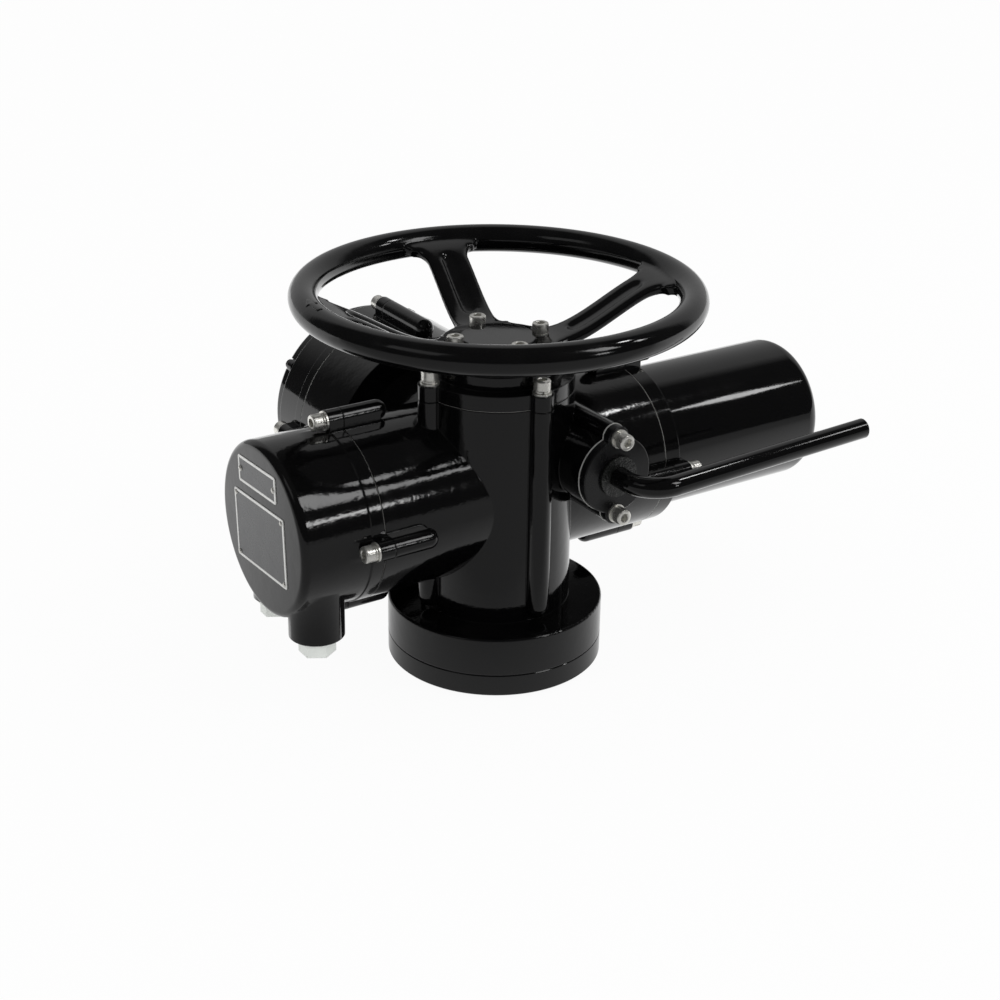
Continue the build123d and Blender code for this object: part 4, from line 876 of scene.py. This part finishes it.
# %% A tighter corner round the end of the terminal cover
cover_axis = Vector((0.020, 0.144))
body_r = 0.0692
wide_round = 0.012
tight_round = 0.006
lip_x = -0.1406
entry_x = -0.1725
entry_walls = ((-0.017, 0.0216), (0.057, 0.0158))
end_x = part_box("terminal_cover")[0][0]
shell = bmesh.new()
shell.from_mesh(nodes["terminal_cover"].data)
bmesh.ops.remove_doubles(shell, verts=shell.verts, dist=0.000005)
moved = 0
for vertex in shell.verts:
    out = vertex.co.yz - cover_axis
    back = end_x + wide_round - vertex.co.x
    rise = out.length - (body_r - wide_round)
    if back > -0.00001 and rise > -0.00001 and abs((back ** 2 + rise ** 2) ** 0.5 - wide_round) < 0.0001:
        on_entry = vertex.co.z < cover_axis.y and any(
            abs(hypot(vertex.co.x - entry_x, vertex.co.y - entry_y) - wall_r) < 0.0001
            for entry_y, wall_r in entry_walls)
        if on_entry:
            depth = max(0.0, end_x + tight_round - vertex.co.x)
            surface_r = body_r - tight_round + (tight_round ** 2 - depth ** 2) ** 0.5
            vertex.co.z = cover_axis.y - (surface_r ** 2 - out.x ** 2) ** 0.5
        else:
            share = Vector((back, rise)).normalized()
            vertex.co.x = end_x + tight_round - tight_round * share.x
            vertex.co.yz = cover_axis + out.normalized() * (body_r - tight_round + tight_round * share.y)
        moved += 1
for cut_x in (end_x + tight_round + 0.0008, end_x + 0.035, lip_x - 0.0008):
    bmesh.ops.bisect_plane(shell, geom=shell.verts[:] + shell.edges[:] + shell.faces[:],
                           plane_co=(cut_x, 0.0, 0.0), plane_no=(1.0, 0.0, 0.0))
shell_mesh = bpy.data.meshes.new("terminal_cover_shell")
shell.to_mesh(shell_mesh)
shell.free()
shell_mesh.shade_smooth()
shell_mesh.set_sharp_from_angle(angle=radians(30))
terminal_shell = finished_piece("terminal_cover_shell", shell_mesh, "housing", "black_paint", cast_enamel)
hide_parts("terminal_cover")
print("corner points moved:", moved)

# %% [markdown]
# ## Plates on the terminal cover
# Two metal plates are fixed to the flat end of the terminal cover: a narrow one with two screws and a
# larger one with four rivets. Both are left bare here. Each is a thin block whose corners are rounded
# with a bevel. An inset leaves a bright border round a dark printed field, which lies a hair lower.

# %% Finishes of the plates
plate_metal = finish_of("plate_metal", (0.80, 0.80, 0.78), (0.5, 0.48, 0.45), 0.4, plain, 0.1, 0.35,
                        smear=(140.0, 6.0, 0.15), corner=0.0002)
plate_field = finish_of("plate_field", (0.05, 0.051, 0.053), (0.2, 0.19, 0.18), 0.26, plain, 0.1, 0.0,
                        smear=(70.0, 5.0, 0.05), corner=0.0001)
print("plate finishes:", plate_metal.name, plate_field.name)


# %% A bare plate and its rivets
plate_h = 0.0008
plate_corner = 0.002
border = 0.0019
face_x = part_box("terminal_cover")[0][0]
plate_turn = radians(-2.4)


def bare_plate(name, width, height, centre):
    """A plate flat on the end of the terminal cover, its outer face towards -X."""
    sheet = bmesh.new()
    bmesh.ops.create_cube(sheet, size=1.0)
    bmesh.ops.scale(sheet, verts=sheet.verts, vec=(plate_h, width, height))
    upright = [e for e in sheet.edges if abs(e.verts[0].co.x - e.verts[1].co.x) > plate_h / 2]
    bmesh.ops.bevel(sheet, geom=upright, offset=plate_corner, offset_type="OFFSET", affect="EDGES", segments=5,
                    profile=0.5, material=-1)
    front = [f for f in sheet.faces if f.normal.x < -0.9]
    rim = [e for e in sheet.edges if sum(f.normal.x < -0.9 for f in e.link_faces) == 1]
    bmesh.ops.bevel(sheet, geom=rim, offset=0.0002, offset_type="OFFSET", affect="EDGES", segments=2,
                    profile=0.5, material=-1)
    front = [max(sheet.faces, key=lambda f: f.calc_area() if f.normal.x < -0.9 else 0.0)]
    bmesh.ops.inset_region(sheet, faces=front, thickness=border, depth=0.0)
    bmesh.ops.inset_region(sheet, faces=front, thickness=0.0001, depth=-0.0002)
    front[0].material_index = 1
    bmesh.ops.rotate(sheet, verts=sheet.verts, cent=(0.0, 0.0, 0.0), matrix=Matrix.Rotation(plate_turn, 3, "X"))
    bmesh.ops.translate(sheet, verts=sheet.verts, vec=(face_x - plate_h / 2, *centre))
    mesh = bpy.data.meshes.new(name)
    sheet.to_mesh(mesh)
    sheet.free()
    finished_piece(name, mesh, "housing", "gasket_metal", plate_metal, plate_field)
    print(name, "is", round(width * 1000), "by", round(height * 1000), "mm")


def rivets(name, radius, spots, centre):
    """Round heads on a plate. spots are places from its middle."""
    joined = bmesh.new()
    swing = Matrix.Rotation(plate_turn, 3, "X")
    for y, z in spots:
        part = spun([(0.0, 0.55 * radius), (0.35 * radius, 0.5 * radius), (0.7 * radius, 0.36 * radius),
                     (0.93 * radius, 0.15 * radius), (radius, 0.0), (radius, -0.5), (0.0, -0.5)], 24)
        spot = swing @ Vector((0.0, y, z)) + Vector((face_x - plate_h, *centre))
        placed(joined, part, spot, Vector((-1.0, 0.0, 0.0)), 0.0)
        part.free()
    mesh = bpy.data.meshes.new(name)
    joined.to_mesh(mesh)
    joined.free()
    mesh.shade_smooth()
    finished_piece(name, mesh, "housing", "stainless", finishes["stainless"])
    print(name, "heads:", len(spots))


rating_place = (0.0215, 0.1375)
rating_size = (0.0825, 0.0565)
label_place = (0.0235, 0.185)
label_size = (0.062, 0.0215)
inset = 0.0034
bare_plate("rating_plate", *rating_size, rating_place)
bare_plate("label_plate", *label_size, label_place)
corner_spots = [(y * (rating_size[0] / 2 - inset), z * (rating_size[1] / 2 - inset))
                for y in (-1, 1) for z in (-1, 1)]
rivets("rating_rivets", 2.1, corner_spots, rating_place)
rivets("label_screws", 2.4, [(y * (label_size[0] / 2 - inset), 0.0) for y in (-1, 1)], label_place)
